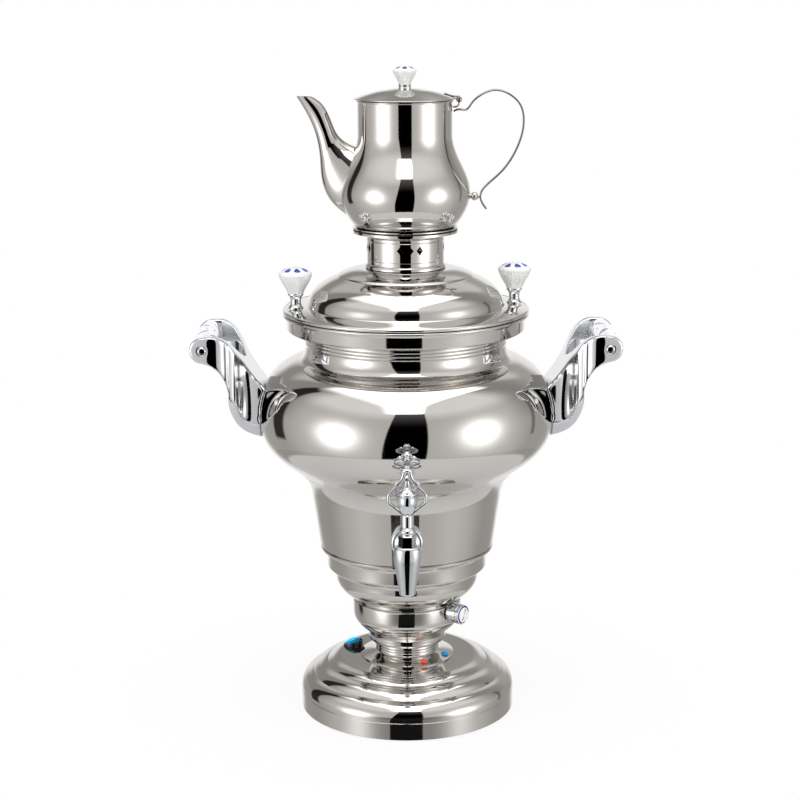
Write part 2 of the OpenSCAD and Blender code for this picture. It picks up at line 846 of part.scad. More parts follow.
// A porcelain roller between the lugs, swollen a little in its middle
module grip() {
    half = grip_half - 0.1;
    color(porcelain) grip_axis() difference() {
        translate([0, 0, -half]) turned(chain([
            [[lug_r - 1.2, 0], [lug_r - 0.6, 1]],
            swell([lug_r - 0.6, 1], [lug_r - 0.6, 2 * half - 1], 0.6, 5),
            [[lug_r - 0.6, 2 * half - 1], [lug_r - 1.2, 2 * half]]
        ]));
        cylinder(r = grip_bolt_r, h = bolt_len, center = true);
    }
}

module grip_right() {
    grip();
}

module grip_left() {
    mirror([1, 0, 0]) grip();
}

module grip_bolts() {
    head_r = 3.5;
    head_h = 1.4;
    color(chrome) for (side = [0, 1]) mirror([side, 0, 0]) grip_axis() {
        cylinder(r = grip_bolt_r, h = 2 * fork_half, center = true);
        for (end = [0, 1]) mirror([0, 0, end]) translate([0, 0, fork_half])
            turned([[head_r, 0], [head_r, head_h * 0.4], [head_r * 0.7, head_h]]);
    }
}

// Studs with their washers and nuts inside the belly
module bracket_studs() {
    color(chrome) stud_places() translate([0, 0, belly_r - stud_in]) {
        cylinder(r = stud_r, h = stud_in + stud_deep);
        translate([0, 0, stud_in - stud_washer - stud_nut_h])
            cylinder(r = 2 * stud_r, h = stud_nut_h, $fn = 6);
    }
    color(chrome) intersection() {
        tank_solid(sheet_t);
        stud_places() translate([0, 0, belly_r - stud_washer]) ring(stud_washer_r, stud_r, 10);
    }
}

// ---- Tap ----

barrel_top = 11;
plug_foot = -9;
gland_h = 6.1;

module at_tap(z = 0) {
    translate([0, -tap_y, z_tap + z]) children();
}

module tap_rosette() {
    color(chrome) difference() {
        translate([0, 0, z_tap]) outwards() rotate_extrude() polygon(chain([
            [[shank_r, floor_r - 6], [rosette_r, floor_r - 6], [rosette_r, bowl_top_r + 1.6]],
            swell([rosette_r, bowl_top_r + 1.6], [rosette_r - 2.6, bowl_top_r + 3.6], 0.6, 2),
            swell([rosette_r - 2.6, bowl_top_r + 3.6], [shank_r + 0.6, bowl_top_r + 6.4], 0.8, 3),
            [[shank_r + 0.6, bowl_top_r + 6.4], [shank_r, bowl_top_r + 6.6]]
        ]));
        tank_solid(0);
    }
}

module tap_gasket() {
    color(black) intersection() {
        tank_solid(sheet_t, $fn = 360);
        translate([0, 0, z_tap]) outwards() translate([0, 0, floor_r]) ring(11, shank_r, 12);
    }
}

lock_nut_h = 5;
shank_end = floor_r - lock_nut_h - 1;

module tap_lock_nut() {
    color(brass) translate([0, 0, z_tap]) outwards() translate([0, 0, floor_r - lock_nut_h])
        difference() {
            cylinder(r = 12, h = lock_nut_h, $fn = 6);
            translate([0, 0, -1]) cylinder(r = shank_r, h = lock_nut_h + 2);
        }
}

// The shank, the barrel and its drooping spout, bored for the plug and the water
module tap_body() {
    color(chrome) difference() {
        union() {
            at_tap() turned(chain([
                [[outlet_r - 0.6, -outlet_h], [outlet_r, -outlet_h + 0.6]],
                [[outlet_r, -outlet_h + 0.6], [barrel_r - 0.6, 0.4], [barrel_r, barrel_top - 3]],
                swell([barrel_r, barrel_top - 3], [barrel_r - 0.8, barrel_top], 0.2, 2),
                [[barrel_r - 0.8, barrel_top], [barrel_r - 2, barrel_top + 0.7]]
            ]));
            translate([0, 0, z_tap]) outwards() translate([0, 0, shank_end])
                cylinder(r = shank_r, h = tap_y - shank_end - 2);
        }
        at_tap() {
            translate([0, 0, plug_foot]) cylinder(r = plug_r, h = 40);
            translate([0, 0, -outlet_h - 1]) cylinder(r = water_r, h = outlet_h);
        }
        translate([0, 0, z_tap]) outwards() cylinder(r = water_r, h = tap_y);
    }
}

plug_top = barrel_top - 1;

module tap_bonnet() {
    color(chrome) at_tap(barrel_top + 0.7) difference() {
        turned([[bonnet_r + 1.4, 0], [bonnet_r + 1.4, 1], [bonnet_r, 2], [bonnet_r, bonnet_h]]);
        translate([0, 0, -1]) cylinder(r = plug_stem_r + run_gap, h = bonnet_h + 2);
    }
}

module gland_nut() {
    color(chrome) at_tap(barrel_top + 0.7 + bonnet_h) difference() {
        turned(chain([
            [[bonnet_r - 1, 0], [bonnet_r - 1, 1]],
            swell([bonnet_r - 1, 1], [bonnet_r - 1, gland_h - 0.8], 1, 4),
            [[bonnet_r - 1, gland_h - 0.8], [bonnet_r - 1.6, gland_h]]
        ]));
        translate([0, 0, -1]) cylinder(r = plug_stem_r + run_gap, h = gland_h + 2);
    }
}

gland_top = barrel_top + 0.7 + bonnet_h + gland_h;
key_foot = gland_top + rest_gap;

// The plug turns in the barrel, and its cross hole meets the bores when the key is along X
module tap_plug() {
    color(brass) at_tap() difference() {
        union() {
            translate([0, 0, plug_foot + rest_gap])
                cylinder(r = plug_r - run_gap, h = plug_top - plug_foot);
            cylinder(r = plug_stem_r, h = key_foot + 3);
        }
        rotate([0, 90, 0]) cylinder(r = water_r, h = 2 * plug_r + 2, center = true);
        translate([0, 0, plug_foot]) cylinder(r = water_r - 0.6, h = -plug_foot);
    }
}

stem_collar_h = 9.6;
key_z = key_foot + stem_collar_h;

crown_z = 40.1;
crown_w = 10.4;
crown_h = 3.9;

// Outlines of the pierced key, seen from the front, from its stem up
key_half = chain([
    [[3.4, 0], [key_w - 2, 6.4]],
    bez([key_w - 2, 6.4], [key_w + 0.4, 7.6], [key_w + 0.6, 14], [key_w - 1.6, 17.4], 5),
    [[key_w - 1.6, 17.4], [9.4, 22.2], [9.2, 24.4], [7.4, 25.4], [5.2, 24.6]],
    bez([5.2, 24.6], [3.4, 27], [2.6, 29], [2.2, 32], 4),
    [[2.2, 32], [1.8, crown_z - crown_h + 1]]
]);
key_window_half = chain([
    [[1.6, 2.6], [key_w - 3.8, 8.2]],
    bez([key_w - 3.8, 8.2], [key_w - 2, 9], [key_w - 1.6, 13.4], [key_w - 3.4, 16], 5),
    [[key_w - 3.4, 16], [6.6, 21.4], [0.6, 23.2]]
]);

// The finial on the crown, from the crown's middle up
crown_half = [[4.6, 2.6], [2.6, 4], [2, 5.4], [2.9, 6.8], [2.4, 8]];
collar_z = 32.6;
collar_w = 5.2;

function both_halves(p) = concat(p, [for (i = [len(p) - 1 : -1 : 0]) [-p[i][0], p[i][1]]]);

module tap_key() {
    color(chrome) at_tap() {
        translate([0, 0, key_foot]) difference() {
            turned([[4.9, 0], [4.9, stem_collar_h - 0.6], [4.3, stem_collar_h]]);
            translate([0, 0, -1]) cylinder(r = plug_stem_r, h = 4);
        }
        translate([0, 0, key_z - 0.01]) {
            along_y(key_t / 2) difference() {
                union() {
                    polygon(both_halves(key_half));
                    translate([0, crown_z]) scale_oval(crown_w, crown_h);
                    translate([0, crown_z]) polygon(both_halves(crown_half));
                }
                polygon(both_halves(key_window_half));
                for (side = [-1, 1]) translate([side * crown_w / 2, crown_z])
                    scale_oval(crown_w / 2 - 1.8, crown_h - 1.5);
            }
            translate([0, 0, collar_z])
                turned([[2.4, -1.4], [collar_w, -0.6], [collar_w, 0.6], [2.4, 1.4]]);
        }
    }
}

// An oval outline w wide and h high, both from its middle
module scale_oval(w, h) {
    polygon([for (i = [0 : 23]) [w * cos(15 * i), h * sin(15 * i)]]);
}

// The turned bulb that stands on the stem inside the key
module key_bulb() {
    color(chrome) at_tap(key_z) intersection() {
        turned(chain([
            [[3.2, 0.2], [3.4, 1.4]],
            bez([3.4, 1.4], [bulb_r - 1, 2.6], [bulb_r, 6], [bulb_r, 9], 6),
            [[bulb_r, 9], [bulb_r - 0.8, 10.2], [bulb_r - 0.2, 11.4], [bulb_r - 1.6, 12.8]],
            bez([bulb_r - 1.6, 12.8], [3.4, 15], [2.2, 16], [1.6, 20], 5)
        ]));
        along_y(bulb_r + 1) polygon(both_halves(inset(key_window_half, 0.1)));
    }
}

// ---- Controls ----

dial_foot = neck_r + rest_gap;
dial_body_h = dial_face_x - 1.2 - dial_foot;

module dial_knob() {
    color(chrome) at_dial(dial_foot) difference() {
        turned(chain([
            [[dial_r - 0.6, 0], [dial_r, 0.6], [dial_r, dial_body_h - 0.8]],
            [[dial_r, dial_body_h - 0.8], [dial_r - 0.5, dial_body_h]]
        ]));
        translate([0, 0, -1]) cylinder(r = 6.8, h = 5.2);
        cylinder(r = shaft_r + run_gap, h = dial_face_x - 3.6 - dial_foot);
    }
}

module dial_face() {
    color(white) at_dial(dial_foot + dial_body_h)
        turned(swell([dial_r - 0.6, 0], [0.02, 1.2], 0.25, 4));
}

bezel_h = 3.6;
rocker_up = 0.6;
rocker_pin_r = 1;
pocket_r = rocker_r + 0.4;

// Places children on the switch's place, from the middle of the rocker's pins
module at_switch(lean = 0) {
    at_az(switch_az, switch_x, z_top + rocker_up) rotate([lean, 0, 0]) children();
}

// The bezel is a wedge, which leans the face outwards on the level top of the base
module switch_housing() {
    color(black) difference() {
        union() {
            intersection() {
                at_switch() translate([0, 0, -rocker_up]) cylinder(r = bezel_r, h = 3 * bezel_h);
                at_switch(switch_lean) translate([0, 0, -2 * bezel_r])
                    cylinder(r = 2 * bezel_r, h = 2 * bezel_r + bezel_h - rocker_up);
            }
            at_switch() translate([0, 0, -rocker_up - switch_depth])
                cylinder(r = switch_barrel_r, h = switch_depth + rocker_up);
        }
        at_switch(switch_lean) {
            sphere(r = pocket_r);
            cylinder(r = pocket_r, h = 3 * bezel_h);
        }
        at_switch() rotate([0, 90, 0])
            cylinder(r = rocker_pin_r + run_gap, h = 2 * pocket_r + 1, center = true);
    }
}

// A round rocker with a domed lens, tilted on its pins. Its side is part of a ball round
// the axis, so it keeps its gap at every tilt
module rocker() {
    color(cyan) at_switch(switch_lean + rocker_tilt) {
        intersection() {
            sphere(r = rocker_r);
            translate([0, 0, -3]) turned(chain([
                [[rocker_r + 1, 0], [rocker_r + 1, 5.4]],
                swell([rocker_r + 1, 5.4], [0.02, 8.2], 0.5, 5)
            ]));
        }
        rotate([0, 90, 0]) cylinder(r = rocker_pin_r, h = 2 * pocket_r + 0.6, center = true);
    }
}

lamp_lip = 2.2;

module lamp_holders() {
    color(chrome) for (az = [lamp_red_az, lamp_blue_az]) at_az(az, lamp_x, z_top) difference() {
        union() {
            translate([0, 0, -10]) cylinder(r = lamp_barrel_r, h = 11);
            turned([[lamp_collar_r, 0], [lamp_collar_r, lamp_lip + 0.8], [lamp_r + 0.4, lamp_lip + 1.4]]);
        }
        translate([0, 0, -8]) cylinder(r = lamp_r, h = 12);
    }
}

module lamp(az) {
    at_az(az, lamp_x, z_top - 8) turned(chain([
        [[lamp_r, 0], [lamp_r, 8 + lamp_lip]],
        swell([lamp_r, 8 + lamp_lip], [0.02, 8 + lamp_lip + 2.4], 0.6, 4)
    ]));
}

module lamp_red() {
    color(red) lamp(lamp_red_az);
}

module lamp_blue() {
    color(cyan) lamp(lamp_blue_az);
}

socket_w = 24.2;
socket_h = 15.8;
socket_depth = 17;

// Centre of the inlet's face
module at_inlet() {
    translate([0, base_r + inlet_proud, z_inlet + inlet_h / 2]) rotate([-90, 0, 0]) children();
}

// A rounded-corner block, w by h, that goes depth inwards from the inlet's face
module inlet_block(w, h, depth, chamfer) {
    translate([0, 0, -depth]) linear_extrude(depth + 0.01) polygon([
        [-w / 2, -h / 2], [w / 2, -h / 2], [w / 2, h / 2 - chamfer], [w / 2 - chamfer, h / 2],
        [-w / 2 + chamfer, h / 2], [-w / 2, h / 2 - chamfer]
    ]);
}

module power_inlet() {
    color(black) at_inlet() difference() {
        inlet_block(inlet_w, inlet_h, inlet_depth, 0.5);
        translate([0, 0, 1]) inlet_block(socket_w, socket_h, socket_depth + 1, 4);
    }
}

pin_size = [2, 4];
pin_places = [[-7, 2], [7, 2], [0, -2]];

module inlet_pins() {
    color(brass) at_inlet() for (p = pin_places)
        translate([p[0] - pin_size[0] / 2, p[1] - pin_size[1] / 2, -socket_depth])
            cube([pin_size[0], pin_size[1], socket_depth - 3]);
}

// ---- Lid ----

lid_line = chain([
    [[lid_r - lid_bead_r, -0.3], [dome_r + 8.6, 1], [dome_r + 0.6, 1.8], [dome_r, 3], [dome_r - 1, 7]],
    bez([dome_r - 1, 7], [dome_r - 3.4, 16], [dome_step_r + 10.4, dome_h - 10.4],
        [dome_step_r + 0.8, dome_h - 6.6], 10),
    [[dome_step_r + 0.8, dome_h - 6.6], [dome_step_r - 0.6, dome_h - 5.2]],
    swell([dome_step_r - 0.6, dome_h - 5.2], [sleeve_r + 0.7, dome_h - 0.1], 1.4, 5),
    [[sleeve_r + 0.7, dome_h - 0.1], [collar_r - 1, dome_h]]
]);

module at_knobs() {
    for (side = [0, 180])
        rotate([0, 0, knob_turn + side]) translate([knob_ring_r, 0, z_flange + 1]) children();
}

knob_screw_r = 2;

// The lid's own frame, inside at_knobs()
module seen_from_knob() {
    translate([-knob_ring_r, 0, -z_flange - 1]) children();
}

// Everything under the sloping flange, from the middle of its sheet down
module under_flange() {
    outer = lid_line[0];
    inner = lid_line[2];
    translate([0, 0, z_flange - sheet_t / 2]) rotate_extrude()
        polygon([outer, lid_line[1], inner, [inner.x, -sheet_t * 4], [outer.x, -sheet_t * 4]]);
}

// The lid's sheet, thicker on both faces by the extra; 0.05 clears a piece that sits on it
module lid_sheet(extra) {
    translate([0, 0, z_flange]) spun(inset(lid_line, -extra), sheet_t + 2 * extra);
}

module lid_shell() {
    color(steel) {
        difference() {
            lid_sheet(0);
            at_knobs() translate([0, 0, -5]) cylinder(r = knob_screw_r + hole_gap, h = 10);
            translate([0, 0, z_dome - 9]) cylinder(r = collar_r + hole_gap, h = 10);
        }
        bead(lid_r - lid_bead_r, z_flange - lid_bead_r, lid_bead_r);
        translate([0, 0, z_flange - lid_rim_h]) ring(lid_rim_r, lid_rim_r - sheet_t, lid_rim_h);
    }
}

module lid_collar() {
    color(steel) translate([0, 0, z_dome - 6]) ring(collar_r, collar_r - sheet_t, collar_h + 6);
}

// Turned metal stems with a foot, a waist and a collar, and a screw down through the lid
module knob_stems() {
    color(chrome) at_knobs() {
        difference() {
            turned(chain([
                [[6, -1], [6, 1]],
                swell([6, 1], [4.2, stem_h / 2], -0.8, 3),
                swell([4.2, stem_h / 2], [6, stem_h - 1.4], -0.6, 3),
                [[6, stem_h - 1.4], [6.2, stem_h]]
            ]));
            seen_from_knob() lid_sheet(0.05);
            seen_from_knob() under_flange();
        }
        translate([0, 0, -8]) cylinder(r = knob_screw_r, h = 9);
        cylinder(r = knob_screw_r, h = stem_h + 8);
    }
}

// Porcelain knobs: a flared cup shape with a domed top
module lid_knobs() {
    h = 21;
    color(porcelain) at_knobs() translate([0, 0, stem_h]) difference() {
        turned(chain([
            [[6.2, 0], [6.6, 1]],
            bez([6.6, 1], [8, 5], [knob_r - 1.4, 9], [knob_r, 14.4], 7),
            swell([knob_r, 14.4], [knob_r - 2, 17.4], 0.9, 3),
            swell([knob_r - 2, 17.4], [0.02, h], 0.9, 5)
        ]));
        cylinder(r = knob_screw_r, h = 8);
    }
}

module knob_nuts() {
    color(chrome) at_knobs() difference() {
        translate([0, 0, -sheet_t - 4.6]) cylinder(r = 4, h = 4.6, $fn = 6);
        translate([0, 0, -sheet_t - 6]) cylinder(r = knob_screw_r, h = 8);
        seen_from_knob() lid_sheet(0.05);
    }
}

// ---- Teapot stand ----

lip_h = 1.8;
gasket_h = 1.2;
stand_line = chain([
    [[sleeve_r + 1.3, 0], [sleeve_r + 1.3, 1]],
    swell([sleeve_r + 1.3, 1], [sleeve_r, 3.4], 0.3, 2),
    [[sleeve_r, 3.4], [sleeve_r, sleeve_h]],
    bez([sleeve_r, sleeve_h], [sleeve_r + 1, sleeve_h + 1.6],
        [seat_ring_r - 5, sleeve_h + 2], [seat_ring_r - 0.3, sleeve_h + 3.5], 6),
    [[seat_ring_r - 0.3, sleeve_h + 3.5], [seat_ring_r - 0.3, sleeve_h + 3.5 + lip_h],
     [sleeve_r + 2, sleeve_h + 3.5 + lip_h]]
]);

module teapot_stand() {
    vent_z = z_sleeve + 16.2;
    color(steel) difference() {
        translate([0, 0, z_sleeve]) spun(stand_line);
        for (group = [0 : 90 : 270])
            for (k = [0 : vents - 1])
                at_az(group + 6.7 + (k - (vents - 1) / 2) * vent_step, sleeve_r - 5, vent_z)
                    outwards() linear_extrude(10)
                        polygon([[-vent_w / 2, 0], [0, -vent_h / 2], [vent_w / 2, 0], [0, vent_h / 2]]);
    }
}

module stand_gasket() {
    color(black) translate([0, 0, z_ring + lip_h]) ring(seat_ring_r - 0.8, sleeve_r + 2, gasket_h);
}

module stand_ring() {
    color(steel) translate([0, 0, z_ring + lip_h + gasket_h])
        ring(seat_ring_r, sleeve_r + 2, seat_ring_h - lip_h - gasket_h);
}

// ---- Teapot ----

pot_line = chain([
    [[0, 0], [pot_foot_r, 0]],
    swell([pot_foot_r, 0], [pot_foot_r + 3, 2.3], 0.5, 2),
    bez([pot_foot_r + 3, 2.3], [pot_foot_r + 6, 5.1], [pot_r, pot_wide_h - 9.5],
        [pot_r, pot_wide_h], 8),
    bez([pot_r, pot_wide_h], [pot_r, pot_wide_h + 17.1], [pot_neck_r, pot_neck_h - 17.5],
        [pot_neck_r, pot_neck_h], 14),
    [[pot_neck_r, pot_neck_h], [pot_neck_r, pot_h]]
]);

module pot_solid() {
    translate([0, 0, z_pot]) turned([for (i = [1 : len(pot_line) - 1]) pot_line[i]]);
}

strainer_r = 2;
strainer_ring = 7;
strainer_z = 34;

module teapot_body() {
    color(steel) {
        difference() {
            translate([0, 0, z_pot]) spun(pot_line);
            for (k = [0 : 6])
                translate([-pot_r - 5, k == 0 ? 0 : strainer_ring * cos(60 * k),
                           z_pot + strainer_z + (k == 0 ? 0 : strainer_ring * sin(60 * k))])
                    rotate([0, 90, 0]) cylinder(r = strainer_r, h = 30);
        }
        bead(pot_neck_r, z_pot_mouth + 0.3, sheet_t);
    }
}

// The spout's outer and inner edges seen from the front, from its beak down
spout_outer = smooth([
    [-pot_r - 32.9, 101.1], [-pot_r - 25.4, 88.6], [-pot_r - 18.4, 72], [-pot_r - 15.2, 53],
    [-pot_r - 14.2, 38], [-pot_r - 7.6, 20.6], [-pot_r + 6, 8]
], 3);
spout_inner = smooth([
    [-pot_r - 19.6, 100.2], [-pot_r - 12.6, 94.6], [-pot_r - 5.4, 80.4], [-pot_r - 0.6, 70.6],
    [-pot_r + 9, 63.4], [-pot_r + 22, 57.5], [-pot_r + 34, 48]
], 3);
spout_half = smooth([[5.4, 0], [5.6, 0], [6.2, 0], [7.2, 0], [10, 0], [14, 0], [17, 0]], 3);

function spout_ring(i, by) =
    let (a = spout_outer[i], b = spout_inner[i], c = (a + b) / 2, u = unit(b - a),
         half = norm(b - a) / 2 - by, side = spout_half[i][0] - by)
    [for (j = [0 : loft_sides - 1])
        let (f = -360 * j / loft_sides)
            [c[0] + u[0] * half * cos(f), side * sin(f), c[1] + u[1] * half * cos(f)]];

function moved(g, v) = [for (q = g) q + v];

module teapot_spout() {
    last = len(spout_outer) - 1;
    color(steel) translate([0, 0, z_pot]) difference() {
        loft([for (i = [0 : last]) spout_ring(i, 0)]);
        loft(concat(
            [moved(spout_ring(0, sheet_t), [-0.6, 0, 1])],
            [for (i = [0 : last]) spout_ring(i, sheet_t)],
            [moved(spout_ring(last, sheet_t), [3, 0, -2])]
        ));
        translate([0, 0, -z_pot]) pot_solid();
    }
}

// Middle line of the bent handle strip, seen from the front
strip_path = smooth([
    [pot_neck_r + strip_t / 2 + 0.02, 89], [pot_neck_r + 5, 90.4], [pot_neck_r + 10.4, 90.2],
    [pot_neck_r + 14.6, 94.9], [pot_neck_r + 20.4, 100.4], [pot_neck_r + 33, 105],
    [pot_neck_r + 45.4, 100.8], [pot_neck_r + 52.6, 93], [pot_neck_r + 55, 80],
    [pot_neck_r + 50.6, 62], [pot_neck_r + 38, 42.3], [pot_r + 11.6, 31], [pot_r + 8, 25.6],
    [pot_r + 7.9, 20.6], [pot_r + 12.2, 13.4]
], 4);

// The bent strip, thicker on both faces by the extra
module strip(half, extra) {
    left = inset(strip_path, strip_t / 2 + extra);
    right = inset(strip_path, -strip_t / 2 - extra);
    translate([0, 0, z_pot]) along_y(half) polygon(concat(left, reversed(right)));
}

module teapot_handle() {
    color(steel) difference() {
        strip(strip_w / 2, 0);
        pot_solid();
    }
}

post_z = 23;

module handle_post() {
    color(steel) difference() {
        translate([pot_r - 3, 0, z_pot + post_z]) rotate([0, 90, 0]) union() {
            cylinder(r = 1.8, h = 3 + 7.9 - strip_t / 2);
            translate([0, 0, 6]) sphere(r = 2.8, $fn = 48);
        }
        pot_solid();
        strip(strip_w, 0.05);
    }
}

z_hinge = z_pot_lid + pot_lid_edge_h - 0.4;
leaf_half = 2;
bracket_half = 5;

module knuckle(y0, y1, r = knuckle_r) {
    translate([hinge_x, y1, z_hinge]) rotate([90, 0, 0]) cylinder(r = r, h = y1 - y0);
}

// Two knuckles on a plate that is welded to the pot's neck, above the handle strip
module hinge_bracket() {
    gap = 0.15;
    plate_x = pot_neck_r + 1.2;
    color(steel) difference() {
        union() {
            for (side = [0, 1]) mirror([0, side, 0]) {
                knuckle(leaf_half + gap, bracket_half);
                translate([plate_x, leaf_half + gap, z_pot_mouth - 0.8])
                    cube([hinge_x + 1.2 - plate_x, bracket_half - leaf_half - gap,
                          z_hinge - z_pot_mouth + 0.8]);
            }
            translate([pot_neck_r - 1, -bracket_half, z_pot_mouth - 2.2])
                cube([hinge_x + 1.2 - pot_neck_r + 1, 2 * bracket_half, 1.4]);
        }
        knuckle(-bracket_half - 1, bracket_half + 1, hinge_pin_r);
        pot_solid();
        bead(pot_neck_r, z_pot_mouth + 0.3, sheet_t + 0.05);
        strip(strip_w, 0.05);
    }
}

module hinge_pin() {
    color(steel) knuckle(-bracket_half - 0.4, bracket_half + 0.4, hinge_pin_r);
}

ferrule_r = 5;
ferrule_h = 3;
pot_lid_r = pot_neck_r + 0.7;
pot_lid_rim_r = pot_neck_r - sheet_t - 0.8;
pot_lid_line = chain([
    [[pot_lid_r, 0], [pot_lid_r, pot_lid_edge_h], [pot_lid_r - 1, pot_lid_edge_h + 1]],
    swell([pot_lid_r - 1, pot_lid_edge_h + 1],
          [16, pot_lid_edge_h + pot_lid_dome_h - 2.4], 1.4, 5),
    swell([16, pot_lid_edge_h + pot_lid_dome_h - 2.4],
          [ferrule_r - 1, pot_lid_edge_h + pot_lid_dome_h], 0.4, 3)
]);
z_ferrule = z_pot_lid + pot_lid_edge_h + pot_lid_dome_h;

module teapot_lid() {
    color(steel) translate([0, 0, z_pot_lid]) {
        difference() {
            spun(pot_lid_line);
            cylinder(r = ferrule_r + hole_gap, h = 2 * pot_lid_dome_h);
        }
        translate([0, 0, -4]) ring(pot_lid_rim_r, pot_lid_rim_r - sheet_t, 4.2 + pot_lid_edge_h);
        translate([0, 0, pot_lid_edge_h - 0.8])
            ring(pot_lid_r - sheet_t / 2, pot_lid_rim_r - sheet_t, sheet_t);
    }
}

// The leaf lies on the lid, bends round the pin and ends in a thumb tab
module hinge_leaf() {
    color(steel) difference() {
        union() {
            knuckle(-leaf_half, leaf_half);
            translate([hinge_x - 10, -leaf_half, z_hinge + 0.6])
                cube([10, 2 * leaf_half, knuckle_r - 0.6]);
            translate([hinge_x, -leaf_half, z_hinge + 0.6])
                cube([5, 2 * leaf_half, knuckle_r - 0.6]);
        }
        knuckle(-leaf_half - 1, leaf_half + 1, hinge_pin_r + run_gap);
        translate([0, 0, z_pot_lid]) turned(pot_lid_line);
        translate([0, 0, z_pot_lid]) cylinder(r = pot_lid_r, h = pot_lid_edge_h);
    }
}

module lid_ferrule() {
    color(chrome) translate([0, 0, z_ferrule - 2]) {
        turned([[ferrule_r, 0], [ferrule_r, 2 + ferrule_h - 0.6], [ferrule_r - 0.4, 2 + ferrule_h]]);
        cylinder(r = 1.5, h = 8);
    }
}

module teapot_lid_knob() {
    wide = pot_knob_h - 4.5;
    color(porcelain) translate([0, 0, z_ferrule + ferrule_h]) difference() {
        turned(chain([
            [[ferrule_r - 0.2, 0], [ferrule_r, 1]],
            bez([ferrule_r, 1], [ferrule_r + 1, 3.4], [pot_knob_r - 1, wide - 3], [pot_knob_r, wide], 6),
            swell([pot_knob_r, wide], [pot_knob_r - 1.6, wide + 2.2], 0.7, 3),
            swell([pot_knob_r - 1.6, wide + 2.2], [0.02, pot_knob_h], 0.6, 4)
        ]));
        cylinder(r = 1.5, h = 3);
    }
}

base_shell();
bottom_cover();
foot_ring();
neck_waist();
neck_ring();
stepped_skirt();
tank_bowl();
tank_belly();
tank_rim();
tie_rod();
tie_nuts();
heating_element();
element_nuts();
thermostat();
thermostat_nut();
thermal_cutout();
terminal_block();
wiring_loom();
handle_bracket_left();
handle_bracket_right();
grip_left();
grip_right();
grip_bolts();
bracket_studs();
tap_rosette();
tap_gasket();
tap_body();
tap_lock_nut();
tap_bonnet();
gland_nut();
switch_housing();
lamp_holders();
lamp_red();
lamp_blue();
power_inlet();
inlet_pins();
lid_shell();
lid_collar();
lid_knobs();
knob_stems();
knob_nuts();
teapot_stand();
stand_gasket();
stand_ring();
teapot_body();
teapot_spout();
teapot_handle();
handle_post();
hinge_bracket();
hinge_pin();
teapot_lid();
hinge_leaf();
lid_ferrule();
teapot_lid_knob();
tap_plug();
tap_key();
key_bulb();
dial_knob();
dial_face();
rocker();
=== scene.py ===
import math

import bmesh
import bpy
import numpy as np
from mathutils import Matrix, Vector


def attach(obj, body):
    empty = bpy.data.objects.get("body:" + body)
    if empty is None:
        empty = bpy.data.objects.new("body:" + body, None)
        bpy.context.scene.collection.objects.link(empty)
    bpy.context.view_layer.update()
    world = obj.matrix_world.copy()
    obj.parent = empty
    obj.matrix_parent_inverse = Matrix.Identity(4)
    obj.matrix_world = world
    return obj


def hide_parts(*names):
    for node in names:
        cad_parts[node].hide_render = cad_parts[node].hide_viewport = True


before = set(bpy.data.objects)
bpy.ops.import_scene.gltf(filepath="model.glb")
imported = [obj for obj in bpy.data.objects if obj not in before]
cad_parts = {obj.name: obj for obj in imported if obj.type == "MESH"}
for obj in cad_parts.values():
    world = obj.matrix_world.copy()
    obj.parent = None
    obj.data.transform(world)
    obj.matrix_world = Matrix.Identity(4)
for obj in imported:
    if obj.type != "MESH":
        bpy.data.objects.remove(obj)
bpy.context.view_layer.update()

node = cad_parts


# ---- Base ----
# The foot of the urn: one spun sheet of stainless steel, with an upright wall, a rolled
# shoulder and two rings, polished to a mirror. It is clamped to the waist by the rod inside.

MM = 0.001
SHEET = 0.8


def swell(a, b, rise, n=10):
    """Points of the arc from a to b whose middle lies `rise` to the right of the straight line."""
    a, b = np.asarray(a, float), np.asarray(b, float)
    chord = np.linalg.norm(b - a)
    along = (b - a) / chord
    right = np.array([along[1], -along[0]])
    half = 2 * math.atan(2 * rise / chord)
    radius = chord / 2 / math.sin(half)
    turn = np.linspace(-half, half, 2 * n + 1)[:, None]
    return (a + b) / 2 + radius * (along * np.sin(turn) + right * (np.cos(turn) - math.cos(half)))


def chain(*parts):
    """One line out of stretches: a point that repeats the one before it is left out."""
    line = np.vstack([np.asarray(q, float).reshape(-1, 2) for q in parts])
    fresh = np.linalg.norm(np.diff(line, axis=0), axis=1) > 1e-4
    return line[np.r_[True, fresh]]


def inset(line, by):
    """The line moved to its left by `by`, each point along the mean normal of its two sides."""
    step = np.diff(line, axis=0)
    step /= np.linalg.norm(step, axis=1)[:, None]
    before, after = np.vstack([step[:1], step]), np.vstack([step, step[-1:]])
    out = np.stack([before[:, 1] + after[:, 1], -before[:, 0] - after[:, 0]], 1)
    out /= np.linalg.norm(out, axis=1)[:, None]
    mitre = np.maximum(0.7, (out * np.stack([after[:, 1], -after[:, 0]], 1)).sum(1))
    return line - out * (by / mitre)[:, None]


def turned_points(line, sides=256, z=0.0, angles=None):
    """A grid: each point (r, z) of the line carried round Z, x = r cos a and y = r sin a."""
    a = np.linspace(0, 2 * np.pi, sides, endpoint=False) if angles is None else angles
    r, h = line[:, 0:1], line[:, 1:2] + z
    return np.stack([r * np.cos(a), r * np.sin(a), h + 0 * a], -1) * MM


